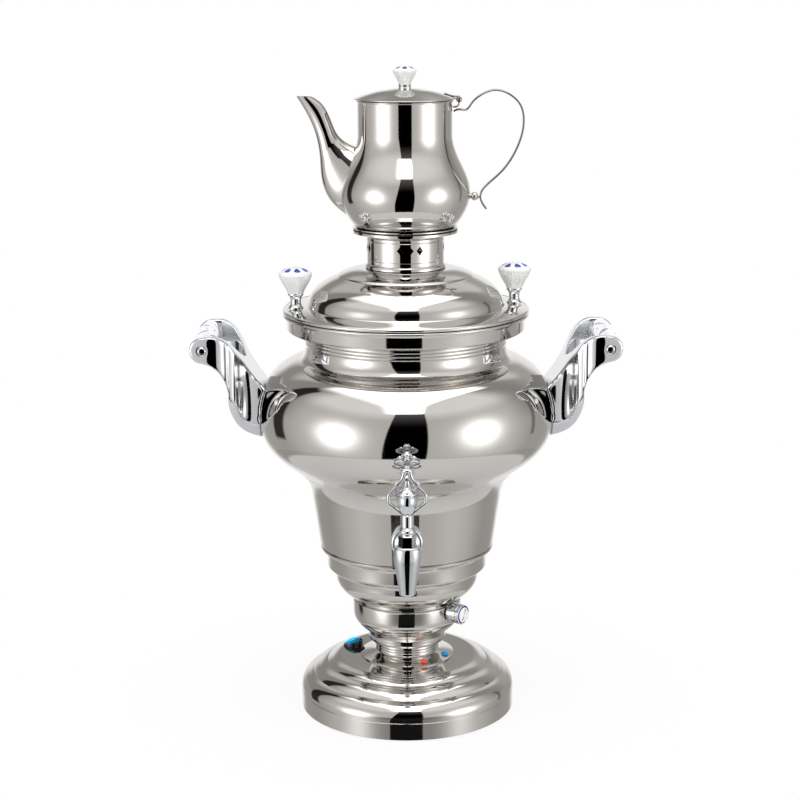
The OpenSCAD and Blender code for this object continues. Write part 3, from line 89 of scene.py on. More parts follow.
def skin(grid, around=True, ends=False):
    """Quads between the neighbours of a grid, with u round it and v along it. The last column
    joins the first; `ends` joins the last row to the first row too."""
    rows, cols = grid.shape[:2]
    i = np.arange(rows * cols).reshape(rows, cols)
    u = np.arange(cols + 1) / cols
    v = np.linspace(0, 1, rows)
    if around:
        i = np.hstack([i, i[:, :1]])
    if ends:
        i, v = np.vstack([i, i[:1]]), np.append(v, 1.0)
    corners = [i[:-1, :-1], i[:-1, 1:], i[1:, 1:], i[1:, :-1]]
    uu, vv = np.meshgrid(u[: i.shape[1]], v)
    maps = [np.stack([uu[s], vv[s]], -1) for s in (
        np.s_[:-1, :-1], np.s_[:-1, 1:], np.s_[1:, 1:], np.s_[1:, :-1])]
    quads, uv = np.stack(corners, -1).reshape(-1, 4), np.stack(maps, -2).reshape(-1, 4, 2)
    return grid.reshape(-1, 3), quads, uv


def walled(outer, inner, faces, uv):
    """A closed sheet: the outer faces, the inner ones turned round, and a rim along every edge
    that only one face has."""
    a, b = faces, np.roll(faces, -1, axis=1)
    size = len(outer)
    one_way, other_way = (a * size + b).ravel(), (b * size + a).ravel()
    lone = ~np.isin(one_way, other_way)
    a, b = a.ravel()[lone], b.ravel()[lone]
    rim = np.stack([b, a, a + size, b + size], 1)
    if faces.shape[1] == 3:
        rim = np.vstack([rim[:, [0, 1, 2]], rim[:, [0, 2, 3]]])
    blank = np.zeros((len(rim), faces.shape[1], 2))
    return (np.vstack([outer, inner]), np.vstack([faces, faces[:, ::-1] + size, rim]),
            np.concatenate([uv, uv[:, ::-1], blank]))


def spun(line, z=0.0, wall=SHEET, sides=256, hole=None):
    """A spun sheet whose outer face is the line turned round Z. hole(points) is true where a
    quad, told by its middle in mm, is cut away."""
    outer, faces, uv = skin(turned_points(line, sides, z))
    inner = turned_points(inset(line, wall), sides, z).reshape(-1, 3)
    if hole is not None:
        stay = ~hole(outer[faces].mean(1) / MM)
        faces, uv = faces[stay], uv[stay]
    return walled(outer, inner, faces, uv)


def piece(name, shapes, body, finish, replaced):
    """A mesh object out of one or more shapes. Doubled points are merged, a solid that came out
    inside out is turned, which its signed volume tells, and only edges past `crease` are sharp."""
    crease = 32.0
    points, faces, uvs, start = [], [], [], 0
    for xyz, quads, uv in shapes:
        a, b, c = xyz[quads[:, 0]], xyz[quads[:, 1]], xyz[quads[:, 2]]
        volume = np.einsum("ij,ij->", a, np.cross(b, c))
        if quads.shape[1] == 4:
            volume += np.einsum("ij,ij->", a, np.cross(c, xyz[quads[:, 3]]))
        if volume < 0:
            quads, uv = quads[:, ::-1], uv[:, ::-1]
        points.append(xyz)
        faces += (quads + start).tolist()
        uvs.append(uv.reshape(-1, 2))
        start += len(xyz)
    mesh = bpy.data.meshes.new(name)
    mesh.from_pydata(np.vstack(points), [], faces)
    layer = mesh.uv_layers.new(name="UVMap")
    layer.data.foreach_set("uv", np.vstack(uvs).astype(np.float32).ravel())
    work = bmesh.new()
    work.from_mesh(mesh)
    bmesh.ops.remove_doubles(work, verts=work.verts, dist=2e-6)
    bmesh.ops.dissolve_degenerate(work, edges=work.edges, dist=1e-7)
    work.to_mesh(mesh)
    work.free()
    mesh.shade_smooth()
    mesh.set_sharp_from_angle(angle=math.radians(crease))
    mesh.materials.append(finish)
    thing = bpy.data.objects.new(name, mesh)
    bpy.context.scene.collection.objects.link(thing)
    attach(thing, body)
    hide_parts(*replaced)


class Wire:
    """An output of a shader node. Arithmetic on it adds Math nodes to its tree."""

    def __init__(self, tree, socket):
        self.tree, self.socket = tree, socket

    def add(self, kind, settings=(), out=0, sockets=()):
        """A new node of this kind: its settings first, then values or links of its sockets."""
        made = self.tree.nodes.new(kind)
        for key, value in dict(settings).items():
            setattr(made, key, value)
        for key, value in dict(sockets).items():
            if isinstance(value, Wire):
                self.tree.links.new(value.socket, made.inputs[key])
            else:
                made.inputs[key].default_value = value
        return Wire(self.tree, made.outputs[out])

    def math(self, operation, *values, clamp=False):
        return self.add("ShaderNodeMath", {"operation": operation, "use_clamp": clamp},
                        sockets=dict(enumerate(values)))

    def __add__(self, other): return self.math("ADD", self, other)
    def __radd__(self, other): return self.math("ADD", other, self)
    def __sub__(self, other): return self.math("SUBTRACT", self, other)
    def __rsub__(self, other): return self.math("SUBTRACT", other, self)
    def __mul__(self, other): return self.math("MULTIPLY", self, other)
    def __rmul__(self, other): return self.math("MULTIPLY", other, self)
    def __truediv__(self, other): return self.math("DIVIDE", self, other)
    def __rtruediv__(self, other): return self.math("DIVIDE", other, self)

    def low(self, other): return self.math("MINIMUM", self, other)
    def high(self, other): return self.math("MAXIMUM", self, other)
    def size(self): return self.math("ABSOLUTE", self)
    def root(self): return self.math("SQRT", self)
    def fraction(self): return self - self.math("FLOOR", self)

    def step(self, start, end):
        """0 below start and 1 above end, or the other way round, smooth between them."""
        return self.add("ShaderNodeMapRange", {"interpolation_type": "SMOOTHSTEP"},
                        sockets={0: self, 1: start, 2: end, 3: 0.0, 4: 1.0})

    def blend(self, first, second):
        """The colours first and second, mixed by this value."""
        wide = [(*q, 1.0) if isinstance(q, tuple) else q for q in (first, second)]
        return self.add("ShaderNodeMix", {"data_type": "RGBA"}, out=2,
                        sockets={0: self, 6: wide[0], 7: wide[1]})


class Finish:
    """A material with one Principled shader, built up from its object coordinates."""

    def __init__(self, name, **sockets):
        self.material = bpy.data.materials.new(name)
        self.material.use_nodes = True
        self.tree = self.material.node_tree
        self.shader = self.tree.nodes["Principled BSDF"]
        self.place = Wire(self.tree, self.tree.nodes.new("ShaderNodeTexCoord").outputs["Object"])
        self.uv = Wire(self.tree, self.place.socket.node.outputs["UV"])
        for key, value in sockets.items():
            self.set(key.replace("_", " "), value)

    def set(self, key, value):
        """A link for what changes over the surface, and the shader's own socket for the rest."""
        if isinstance(value, Wire):
            self.tree.links.new(value.socket, self.shader.inputs[key])
        else:
            self.shader.inputs[key].default_value = value

    def split(self, wire):
        """The three parts of a vector."""
        parts = wire.add("ShaderNodeSeparateXYZ", sockets={0: wire}).socket.node
        return [Wire(self.tree, parts.outputs[k]) for k in range(3)]

    def noise(self, scale, detail=2.0, roughness=0.5, place=None):
        """Smooth noise from 0 to 1, with `scale` lumps to the metre."""
        return self.place.add("ShaderNodeTexNoise", {"noise_dimensions": "3D"}, sockets={
            "Vector": place or self.place, "Scale": scale, "Detail": detail,
            "Roughness": roughness})

    def bump(self, height, strength, depth):
        """Normals for a height from 0 to 1 that stands `depth` metres high."""
        self.set("Normal", height.add("ShaderNodeBump", sockets={
            "Strength": strength, "Distance": depth, "Height": height}))
        return self


def spun_metal(name, tone, dull=0.035, lines=0.10):
    """Mirror-polished sheet: fine turning lines round the Z axis, faint smears in the shine and
    a colour that drifts a little."""
    f = Finish(name, Metallic=1.0)
    x, y, z = f.split(f.place)
    radius = (x * x + y * y).root()
    lines_to_metre = 2600.0
    groove = f.place.add("ShaderNodeCombineXYZ", sockets={
        0: radius * lines_to_metre, 1: z * lines_to_metre, 2: 0.0})
    fine = f.noise(1.0, 2.0, 0.6, groove)
    smear = f.noise(38.0, 4.0, 0.62)
    drift = f.noise(14.0, 1.0)
    f.set("Base Color", drift.step(0.3, 0.7).blend(tuple(0.965 * c for c in tone), tone))
    f.set("Roughness", dull + 0.05 * smear.step(0.45, 0.85) + 0.012 * fine)
    return f.bump(fine * 0.6 + f.noise(55.0, 1.0) * 1.4, lines, 0.00002).material


steel_tone = (0.66, 0.64, 0.615)
steel = spun_metal("polished_steel", steel_tone)

rim_z = 1.5
wall_r = 86.8
shoulder_foot, shoulder_top = (86.8, 17.0), (77.2, 28.8)
ring_top, plateau = (65.1, 36.5), (53.0, 41.4)
passage_r = 20.0
base_line = chain(
    [[wall_r - 3, 0], [wall_r, 0], [wall_r, 13.2], [wall_r - 0.35, 13.5], [wall_r, 13.8]],
    np.linspace((wall_r, 13.8), shoulder_foot, 5),
    swell(shoulder_foot, shoulder_top, 2.4, 16),
    swell(shoulder_top, ring_top, 1.7, 12), swell(ring_top, plateau, 1.5, 12),
    [plateau, [40, plateau[1]], [passage_r, plateau[1]]])
inlet_low, inlet_high, inlet_turn = 3.7, 22.1, 9.0


def inlet_hole(p):
    away = np.degrees(np.abs(np.arctan2(p[:, 0], p[:, 1])))
    return (away < inlet_turn) & (p[:, 2] > inlet_low) & (p[:, 2] < inlet_high)


base_line = np.insert(base_line, 2, [[wall_r, inlet_low - rim_z]], axis=0)
piece("base_shell_skin", [spun(base_line, rim_z, sides=360, hole=inlet_hole)],
      "samovar", steel, ["base_shell"])


# ---- Waist, neck ring and stepped skirt ----
# Three more spun sheets stacked on the base: a waist with three rolled ribs, a ring that
# carries the heat dial, and a skirt with two steps on which the tank sits.

waist_z, neck_z, skirt_z, floor_z = 42.9, 62.3, 91.5, 137.5
waist_r, rib_h, rib_count, flare_h, waist_h = 25.4, 2.1, 3, 5.4, 19.4
ribs_h = flare_h + rib_count * rib_h


def bez(a, b, c, d, n=24):
    """Points of a cubic curve: its corners weighted by the cubes and products of t and 1 - t."""
    t = np.linspace(0, 1, n + 1)[:, None]
    s = 1 - t
    a, b, c, d = (np.asarray(q, float) for q in (a, b, c, d))
    return s**3 * a + 3 * s * s * t * b + 3 * s * t * t * c + t**3 * d


def ribs(r, z, count, pitch, rise):
    """A row of small outward arcs, one above the other."""
    return chain(*[swell((r, z + k * pitch), (r, z + (k + 1) * pitch), rise, 7)
                   for k in range(count)])


waist_line = chain(
    [[38, 0], [38, 0.9]], bez((38, 0.9), (31.4, 2.8), (25.8, 3.6), (waist_r, flare_h)),
    ribs(waist_r, flare_h, rib_count, rib_h, 0.45),
    bez((waist_r, ribs_h), (26.6, ribs_h + 1.2), (30.4, ribs_h + 1.0), (31.2, ribs_h + 3.0), 12),
    [[31.4, ribs_h + 3.8], [31.4, waist_h], [passage_r, waist_h]])
piece("neck_waist_skin", [spun(waist_line, waist_z, wall=0.5)], "samovar", steel,
      ["neck_waist"])

neck_r, neck_h = 43.8, 29.2
neck_line = chain(
    [[passage_r, 0], [31.4, 0], [31.6, 1]], bez((31.6, 1), (34, 5.6), (neck_r, 8), (neck_r, 19)),
    [[neck_r, neck_h - 1.6]], swell((neck_r, neck_h - 1.6), (neck_r - 1.6, neck_h), 0.45, 6),
    [[39.5, neck_h]])
piece("neck_ring_skin", [spun(neck_line, neck_z)], "samovar", steel, ["neck_ring"])

skirt_line = chain(
    [[39.8, 0], [41, 0], [41, 2.3]], bez((41, 2.3), (50, 4.6), (57.6, 12), (57.6, 20.5)),
    [[58, 24]], bez((58, 24), (58.4, 27.4), (64.3, 26.4), (64.3, 30), 16), [[64.3, 39]],
    bez((64.3, 39), (64.7, 43), (69.5, 42.8), (69.8, 44.6), 16), [[69.8, 46], [61.8, 46]])
piece("stepped_skirt_skin", [spun(skirt_line, skirt_z)], "samovar", steel,
      ["stepped_skirt"])


# ---- Tank ----
# The urn itself, drawn from two sheets and welded round at one line: a leaning bowl that
# flares into the belly, and a shoulder that runs up through fine ribs to the rolled mouth.

lean = 6.5 / 44
neck_foot, belly = np.array([83.4, 153.9]), np.array([117.6, 109.0])
flare = bez((76.3, 44), (76.3 + 30 * lean, 74), belly - (0, 40), belly, 64)
shoulder = bez(belly, belly + (0, 24.8), (103.0, 151.1), (84.6, 153.4), 56)
ribs_foot, ribs_top, band_foot, mouth_h = 166.0, 174.1, 186.2, 190.5
seam = 63.0
bowl_line = chain([[0, 0], [60, 0], [68.6, 0], [69.8, 1.2], [76.3, 44]], flare[flare[:, 1] < seam],
                  [[np.interp(seam, flare[:, 1], flare[:, 0]), seam - 0.06]])
belly_line = chain(
    [[np.interp(seam, flare[:, 1], flare[:, 0]), seam + 0.06]], flare[flare[:, 1] > seam + 1],
    shoulder, [neck_foot])
rim_line = chain(
    [neck_foot], bez(neck_foot, (81.0, 156.4), (79.8, 160), (79.8, ribs_foot), 16),
    ribs(79.8, ribs_foot, 3, 2.7, 0.4),
    bez((79.8, ribs_top), (80.4, ribs_top + 3.5), (93.6, ribs_top + 0.4), (94.4, ribs_top + 4.7)),
    [[94.4, band_foot], [95, band_foot + 1.9], [96.2, band_foot + 3.1]])


def bead(r, z, wire, sides=256):
    """A rolled edge: a small circle at the radius r carried round Z."""
    a = np.linspace(0, 2 * np.pi, 20, endpoint=False)
    circle = np.stack([r + wire * np.cos(a), z + wire * np.sin(a)], 1)
    return skin(turned_points(circle, sides), ends=True)


piece("tank_bowl_skin", [spun(bowl_line, floor_z, sides=320)], "samovar", steel,
      ["tank_bowl"])
piece("tank_belly_skin", [spun(belly_line, floor_z, sides=320)], "samovar", steel,
      ["tank_belly"])
piece("tank_rim_skin", [spun(rim_line, floor_z, sides=320),
                        bead(96.2, floor_z + mouth_h - 1.2, 1.2, 320)],
      "samovar", steel, ["tank_rim"])


# ---- Lid ----
# A spun dome with a stepped top and a rolled edge that lies in the mouth of the tank. Two
# porcelain knobs stand on turned metal stems, each held by a screw and a nut below.

lid_z, lid_r, dome_r, dome_h, step_r = 331.5, 97.5, 77.4, 31.9, 53.6
lid_line = chain(
    [[lid_r - 1.6, -0.3], [86, 1], [78, 1.8]],
    bez((78, 1.8), (77.5, 2.1), (77.2, 3.4), (76.4, 7), 8),
    bez((76.4, 7), (74, 16), (step_r + 10.4, dome_h - 10.4), (step_r + 0.8, dome_h - 6.6), 40),
    bez((step_r + 0.8, dome_h - 6.6), (step_r - 0.2, dome_h - 6.0), (step_r - 0.2, dome_h - 5.8),
        (step_r - 0.6, dome_h - 5.2), 5),
    swell((step_r - 0.6, dome_h - 5.2), (31, dome_h - 0.1), 1.4, 14), [[28.6, dome_h]])


def ring(r, bore, low, high, bevel=0.15, sides=192):
    """A flat ring, as a closed profile carried round Z, with small bevels on its corners."""
    e = bevel
    loop = np.array([[bore, low + e], [bore + e, low], [r - e, low], [r, low + e],
                     [r, high - e], [r - e, high], [bore + e, high], [bore, high - e]])
    return skin(turned_points(loop, sides), ends=True)


piece("lid_shell_skin", [spun(lid_line, lid_z, sides=320), bead(lid_r - 1.6, lid_z - 1.6, 1.6, 320),
                         ring(92, 91.2, lid_z - 8, lid_z, 0.1, 320)],
      "lid", steel, ["lid_shell"])


def cast_metal(name, tone, dull=0.05):
    """Plated, polished casting: cooler than the sheet, with a slow waviness and a few smears."""
    f = Finish(name, Metallic=1.0)
    drift = f.noise(60.0, 2.0)
    f.set("Base Color", drift.step(0.3, 0.75).blend(tuple(0.95 * c for c in tone), tone))
    f.set("Roughness", dull + 0.05 * f.noise(90.0, 4.0, 0.6).step(0.5, 0.9))
    return f.bump(f.noise(120.0, 1.0) + 0.12 * f.noise(1500.0, 2.0), 0.12, 0.00003).material


chrome_tone = (0.74, 0.76, 0.79)
chrome = cast_metal("bright_chrome", chrome_tone)

cobalt, glaze = (0.012, 0.035, 0.27), (0.86, 0.86, 0.85)


def porcelain(name, mask):
    """Glazed white porcelain with cobalt painting under the glaze. mask(finish) is 1 where the
    paint is; it is uneven, as brushed paint is."""
    f = Finish(name, Roughness=0.07, Coat_Weight=0.6, Coat_Roughness=0.03, IOR=1.52)
    patchy = f.noise(900.0, 3.0, 0.6).step(0.25, 0.8)
    paint = patchy.blend(cobalt, tuple(1.9 * c for c in cobalt))
    body = f.noise(70.0, 2.0).step(0.3, 0.8).blend(tuple(0.95 * c for c in glaze), glaze)
    f.set("Base Color", mask(f).blend(body, paint))
    return f.bump(f.noise(160.0, 2.0), 0.10, 0.00004).material


def petals(count, middle, length, width, lean=0.0):
    """A ring of `count` drop-shaped strokes: an oval in turn (across) and height (along), wider
    at its lower end. Both are read from the UV map."""
    def mask(f):
        u, v, _ = f.split(f.uv)
        along = (v - middle) / length
        turn = u * count + along * lean
        across = (turn.fraction() - 0.5) / width
        wobble = (f.noise(700.0, 2.0) - 0.5) * 0.35
        reach = across * across * (1.15 + along * 0.7) + along * along + wobble
        return reach.step(1.05, 0.85)
    return mask


def solid(line, z=0.0, sides=128):
    """A turned solid: the line turned round Z and closed on the axis at both ends."""
    ends = np.array([[0, line[0, 1]]]), np.array([[0, line[-1, 1]]])
    return skin(turned_points(chain(ends[0], line, ends[1]), sides, z))


def placed(shape, matrix):
    """The shape moved by a 4 by 4 matrix whose lengths are metres."""
    m = np.array(matrix)
    return (shape[0] @ m[:3, :3].T + m[:3, 3], *shape[1:])


knob_ring, knob_turn, stem_h, knob_w = 87.0, 7.0, 12.0, 13.2
stem_line = chain(
    [[6, 0], [6, 1]], swell((6, 1), (4.2, 6), -0.8, 6), swell((4.2, 6), (6, 10.6), -0.6, 6),
    [[6, 10.6], [6.3, 11.1], [6.2, stem_h]])
knob_line = chain(
    [[6.2, 0], [6.6, 1]], bez((6.6, 1), (8, 5), (11.8, 9), (knob_w, 14.4), 22),
    swell((knob_w, 14.4), (knob_w - 2, 17.4), 0.9, 8),
    swell((knob_w - 2, 17.4), (0.02, 21), 0.9, 14))
knob_paint = porcelain("knob_porcelain", petals(7, 0.695, 0.10, 0.33))
stems, knobs = [], []
for side in (0, 180):
    a = math.radians(knob_turn + side)
    spot = Matrix.Translation((knob_ring * math.cos(a) * MM, knob_ring * math.sin(a) * MM,
                               (lid_z + 1) * MM))
    stems.append(placed(solid(stem_line, sides=64), spot))
    knobs.append(placed(solid(knob_line, stem_h, 96), spot))
    shank = np.array([[2, -9], [2, 0.5]])
    stems.append(placed(solid(shank, sides=32), spot))
piece("knob_stem_pair", stems, "lid", chrome, ["knob_stems"])
piece("lid_knob_pair", knobs, "lid", knob_paint, ["lid_knobs"])


# ---- Teapot stand ----
# A spun sleeve that drops over the lid's collar, pierced with diamond vents for the steam,
# with a dark gasket and a bright ring on top for the teapot.

sleeve_z, sleeve_r, sleeve_h = 363.7, 30.3, 24.0
vent_h, vent_w, vent_up, vent_step, vent_turn = 7.0, 5.5, 16.2, 14.6, 6.7
cuts = 4
half_turn = math.degrees(vent_w / 2 / sleeve_r)
centres = np.array([90 * g + vent_turn + k * vent_step for g in range(4) for k in (-1, 0, 1)])
stops = np.unique([round(c + half_turn * k / cuts, 4)
                   for c in centres for k in range(-cuts, cuts + 1)])
angles = np.concatenate([np.linspace(a, b, max(1, round((b - a) / 1.8)), endpoint=False)
                         for a, b in zip(stops, np.append(stops[1:], stops[0] + 360))])
rows = vent_up + vent_h / 2 * np.arange(-cuts, cuts + 1) / cuts
stand_line = chain(
    [[31.6, 0], [31.6, 1]], swell((31.6, 1), (sleeve_r, 3.4), 0.3, 5),
    [[sleeve_r, 6.2], [sleeve_r - 0.25, 6.5], [sleeve_r, 6.8]],
    np.stack([0 * rows + sleeve_r, rows], 1),
    [[sleeve_r, 21.4], [sleeve_r + 0.25, 21.8], [sleeve_r, 22.2], [sleeve_r, sleeve_h]],
    bez((sleeve_r, sleeve_h), (31.3, 25.6), (36.5, 26), (41.2, 27.5), 14),
    [[41.2, 29.3], [32.3, 29.3]])
from_tap = np.radians(angles - 90)
outer, quads, uv = skin(turned_points(stand_line, z=sleeve_z, angles=from_tap))
inner = turned_points(inset(stand_line, SHEET), z=sleeve_z, angles=from_tap).reshape(-1, 3)


def from_vents(faces):
    """Where each face's middle lies: its turn and its height from the nearest vent's middle,
    both told in half a vent, and its distance from the sleeve's outer face in mm."""
    x, y, z = outer[faces].mean(1).T / MM
    turn = (np.degrees(np.arctan2(y, x)) + 90 - centres[:, None] + 180) % 360 - 180
    nearest = np.take_along_axis(turn, np.abs(turn).argmin(0)[None], 0)[0]
    return nearest / half_turn, (z - sleeve_z - vent_up) / (vent_h / 2), np.hypot(x, y) - sleeve_r


# the quads round a vent are cut in two along its edge, and what lies inside is left out
across, up, _ = from_vents(quads)
falling = (across * up > 0) & (np.abs(across) < 1) & (np.abs(up) < 1)
pick = np.where(falling[:, None, None], [[0, 1, 3], [1, 2, 3]], [[0, 1, 2], [0, 2, 3]])
tris = np.take_along_axis(np.repeat(quads[:, None], 2, 1), pick, 2).reshape(-1, 3)
tri_uv = np.take_along_axis(np.repeat(uv[:, None], 2, 1), pick[..., None], 2).reshape(-1, 3, 2)
across, up, off = from_vents(tris)
stay = (np.abs(across) + np.abs(up) >= 1) | (np.abs(off) >= 0.5)
piece("teapot_stand_skin", [walled(outer, inner, tris[stay], tri_uv[stay])], "stand", steel,
      ["teapot_stand"])


def soft_black(name, tone=(0.012, 0.012, 0.013), dull=0.5, grain=1400.0):
    """Black rubber or plastic: a fine moulded grain, greyer where it has been handled."""
    f = Finish(name, IOR=1.5)
    worn = f.noise(130.0, 4.0, 0.65).step(0.5, 0.8)
    f.set("Base Color", worn.blend(tone, tuple(2.2 * c + 0.01 for c in tone)))
    f.set("Roughness", dull + 0.15 * worn)
    return f.bump(f.noise(grain, 2.0), 0.25, 0.00008).material


rubber = soft_black("black_rubber", dull=0.62)
seat_z, seat_r = 391.2, 41.5
piece("stand_gasket_ring", [ring(seat_r - 0.8, 32.3, seat_z + 1.8, seat_z + 3.0)], "stand",
      rubber, ["stand_gasket"])
piece("stand_seat_ring", [ring(seat_r, 32.3, seat_z + 3.0, seat_z + 4.2, 0.3)], "stand", steel,
      ["stand_ring"])


# ---- Teapot ----
# A spun pot with a straight neck. Its spout is pressed from sheet and welded on, and its
# handle is one bent strip with a small post below and a hinge for the lid above.

pot_z, pot_mouth = 395.7, 488.7
pot_line = chain(
    [[0, 0], [38, 0]], swell((38, 0), (41, 2.3), 0.5, 5),
    bez((41, 2.3), (44, 5.1), (51, 16.5), (51, 26), 40),
    bez((51, 26), (51, 43.1), (36.9, 54.5), (36.9, 72), 56), [[36.9, pot_mouth + 4.0 - pot_z]])
piece("teapot_body_skin", [spun(pot_line, pot_z), bead(36.9, pot_mouth + 4.2, 0.8)],
      "teapot", steel, ["teapot_body"])


def spline(points, n=12):
    """A smooth curve through points of any dimension: piecewise cubics whose second
    derivatives agree where they meet and are zero at the two ends."""
    p = np.asarray(points, float)
    h = np.linalg.norm(np.diff(p, axis=0), axis=1) ** 0.75
    k = len(p)
    m, rhs = np.eye(k), np.zeros_like(p)
    for i in range(1, k - 1):
        m[i, i - 1:i + 2] = h[i - 1], 2 * (h[i - 1] + h[i]), h[i]
        rhs[i] = 6 * ((p[i + 1] - p[i]) / h[i] - (p[i] - p[i - 1]) / h[i - 1])
    bend = np.linalg.solve(m, rhs)
    parts = []
    for i in range(k - 1):
        t = np.linspace(0, 1, n + 1)[(i > 0):, None]
        s, hh = 1 - t, h[i] ** 2 / 6
        curved = (s**3 - s) * bend[i] + (t**3 - t) * bend[i + 1]
        parts.append(s * p[i] + t * p[i + 1] + hh * curved)
    return np.vstack(parts)


edge_out = spline([[-83.9, 101.1], [-76.4, 88.6], [-69.4, 72], [-66.2, 53], [-65.2, 38],
                   [-58.6, 20.6], [-45, 8]], 14)
edge_in = spline([[-70.6, 100.2], [-63.6, 94.6], [-56.4, 80.4], [-51.6, 70.6], [-42, 63.4],
                  [-29, 57.5], [-17, 48]], 14)
half_wide = spline([[5.4], [5.6], [6.2], [7.2], [10], [14], [17]], 14)


def spout(by):
    """Ovals whose long axis joins the two edges of the spout, drawn in by `by`."""
    mid, gap = (edge_out + edge_in) / 2, edge_in - edge_out
    half = np.linalg.norm(gap, axis=1)[:, None] / 2
    axis = gap / (2 * half)
    a = np.linspace(0, 2 * np.pi, 72, endpoint=False)
    reach, side = (half - by) * np.cos(a), (half_wide - by) * np.sin(a)
    x, z = mid[:, :1] + axis[:, :1] * reach, mid[:, 1:] + axis[:, 1:] * reach
    return np.stack([x, side, z + pot_z], -1) * MM


outer, quads, uv = skin(spout(0.0))
piece("teapot_spout_skin", [walled(outer, spout(SHEET).reshape(-1, 3), quads, uv)], "teapot",
      steel, ["teapot_spout"])


def bar(path, half_flat, half_thick, power=2.6, sides=28):
    """A bar along a path in the XZ plane. Its section is a rounded box: half_flat along Y and
    half_thick in the plane, with |cos|^(2/power) and |sin|^(2/power) of the angle."""
    slope = np.gradient(path, axis=0)
    slope /= np.linalg.norm(slope, axis=1)[:, None]
    a = np.linspace(0, 2 * np.pi, sides, endpoint=False)
    c, s = np.cos(a), np.sin(a)
    wide = np.sign(c) * np.abs(c) ** (2 / power) * np.reshape(half_flat, (-1, 1))
    thick = np.sign(s) * np.abs(s) ** (2 / power) * np.reshape(half_thick, (-1, 1))
    wide, thick = wide + np.zeros((len(path), 1)), thick + np.zeros((len(path), 1))
    x = path[:, :1] + slope[:, 1:] * thick
    z = path[:, 1:] - slope[:, :1] * thick
    grid = np.stack([x, wide, z], -1)
    tips = [np.repeat(grid[k].mean(0)[None, None], sides, 1) for k in (0, -1)]
    return skin(np.concatenate([tips[0], grid, tips[1]]) * MM)


strip = spline([[37.7, 89], [41.9, 90.4], [47.3, 90.2], [51.5, 94.9], [57.3, 100.4], [69.9, 105],
                [82.3, 100.8], [89.5, 93], [91.9, 80], [87.5, 62], [74.9, 42.3], [62.6, 31],
                [59, 25.6], [58.9, 20.6], [63.2, 13.4]], 14) + (0, pot_z)
piece("teapot_handle_strip", [bar(strip, 4.0, 0.95)], "teapot", steel,
      ["teapot_handle"])
post_line = chain([[1.8, 0], [1.8, 3.6]], swell((1.8, 3.6), (1.8, 8.6), 1.6, 8), [[1.6, 10.2]])
post = Matrix.Translation((48 * MM, 0, (pot_z + 23) * MM)) @ Matrix.Rotation(math.pi / 2, 4, "Y")
piece("handle_post_bead", [placed(solid(post_line, sides=40), post)], "teapot", steel,
      ["handle_post"])

pot_lid_z = 490.6
pot_lid_line = chain(
    [[38.6, 3.5], [39.4, 3.6]], swell((39.4, 3.6), (39.3, 4.5), 0.4, 5),
    bez((39.3, 4.5), (34, 6.4), (26, 9.2), (18.6, 10.4), 20),
    bez((18.6, 10.4), (12.6, 11.3), (9.6, 11.8), (5, 11.9), 14), [[0, 12.0]])
piece("teapot_lid_skin", [spun(pot_lid_line, pot_lid_z),
                          ring(35.3, 34.5, pot_lid_z - 4, pot_lid_z + 5.2, 0.1, 256)],
      "teapot_cover", steel, ["teapot_lid"])
ferrule_z = pot_lid_z + 11.9
piece("lid_ferrule_turned", [solid(chain([[5.2, -0.6], [5.2, 0.2], [4.7, 0.7], [4.7, 1.6],
                                          [5, 2.1], [5, 2.6], [4.6, 3]]), ferrule_z, 64)],
      "teapot_cover", chrome, ["lid_ferrule"])
pot_knob_line = chain(
    [[4.8, 0], [5, 1]], bez((5, 1), (6, 3.4), (8.4, 6.7), (9.4, 9.7), 20),
    swell((9.4, 9.7), (7.8, 11.9), 0.7, 7), swell((7.8, 11.9), (0.02, 13.9), 0.6, 12))
pot_knob_paint = porcelain("teapot_knob_porcelain", petals(6, 0.70, 0.105, 0.31))
piece("teapot_lid_knob_skin", [solid(pot_knob_line, ferrule_z + 3, 80)], "teapot_cover",
      pot_knob_paint, ["teapot_lid_knob"])

hinge = np.array([41.8, 493.8])
leaf_way = spline([[30.5, 498.6], [35.0, 497.0], [39.4, 496.1], [42.6, 496.1]], 8)
lug_way = spline([[37.3, 488.2], [40.2, 488.4], [41.6, 490.2], [41.8, 493.0]], 8)
across_hinge = Matrix.Translation((hinge[0] * MM, 0, hinge[1] * MM)) @ Matrix.Rotation(
    math.pi / 2, 4, "X")
pin_line = chain([[1.0, -6.2]], swell((1.7, -5.9), (1.7, 5.9), 0.05, 6), [[1.0, 6.2]])
lug_line = chain([[2.0, 2.3]], swell((2.2, 2.6), (2.2, 5.2), 0.1, 6), [[2.0, 5.5]])
piece("hinge_pin_turned", [placed(solid(pin_line, sides=40), across_hinge)], "teapot", steel,
      ["hinge_pin"])
lugs = [placed(solid(lug_line, sides=40), across_hinge @ Matrix.Rotation(turn, 4, "X"))
        for turn in (0, math.pi)]
piece("hinge_bracket_pressed", [bar(lug_way, 4.6, 0.8), *lugs], "teapot", steel,
      ["hinge_bracket"])
knuckle = chain([[2.0, -2.2]], swell((2.3, -1.9), (2.3, 1.9), 0.05, 6), [[2.0, 2.2]])
piece("hinge_leaf_pressed", [bar(leaf_way, 3.4, 0.6),
                             placed(solid(knuckle, sides=40), across_hinge)],
      "teapot_cover", steel, ["hinge_leaf"])


# ---- Tap ----
# A plug tap, cast and plated. Its shank goes through a rosette on the bowl, the plug turns in
# a drooping barrel under a bonnet and a gland nut, and the key is a pierced frame with a
# turned bulb inside and an open crown on top.

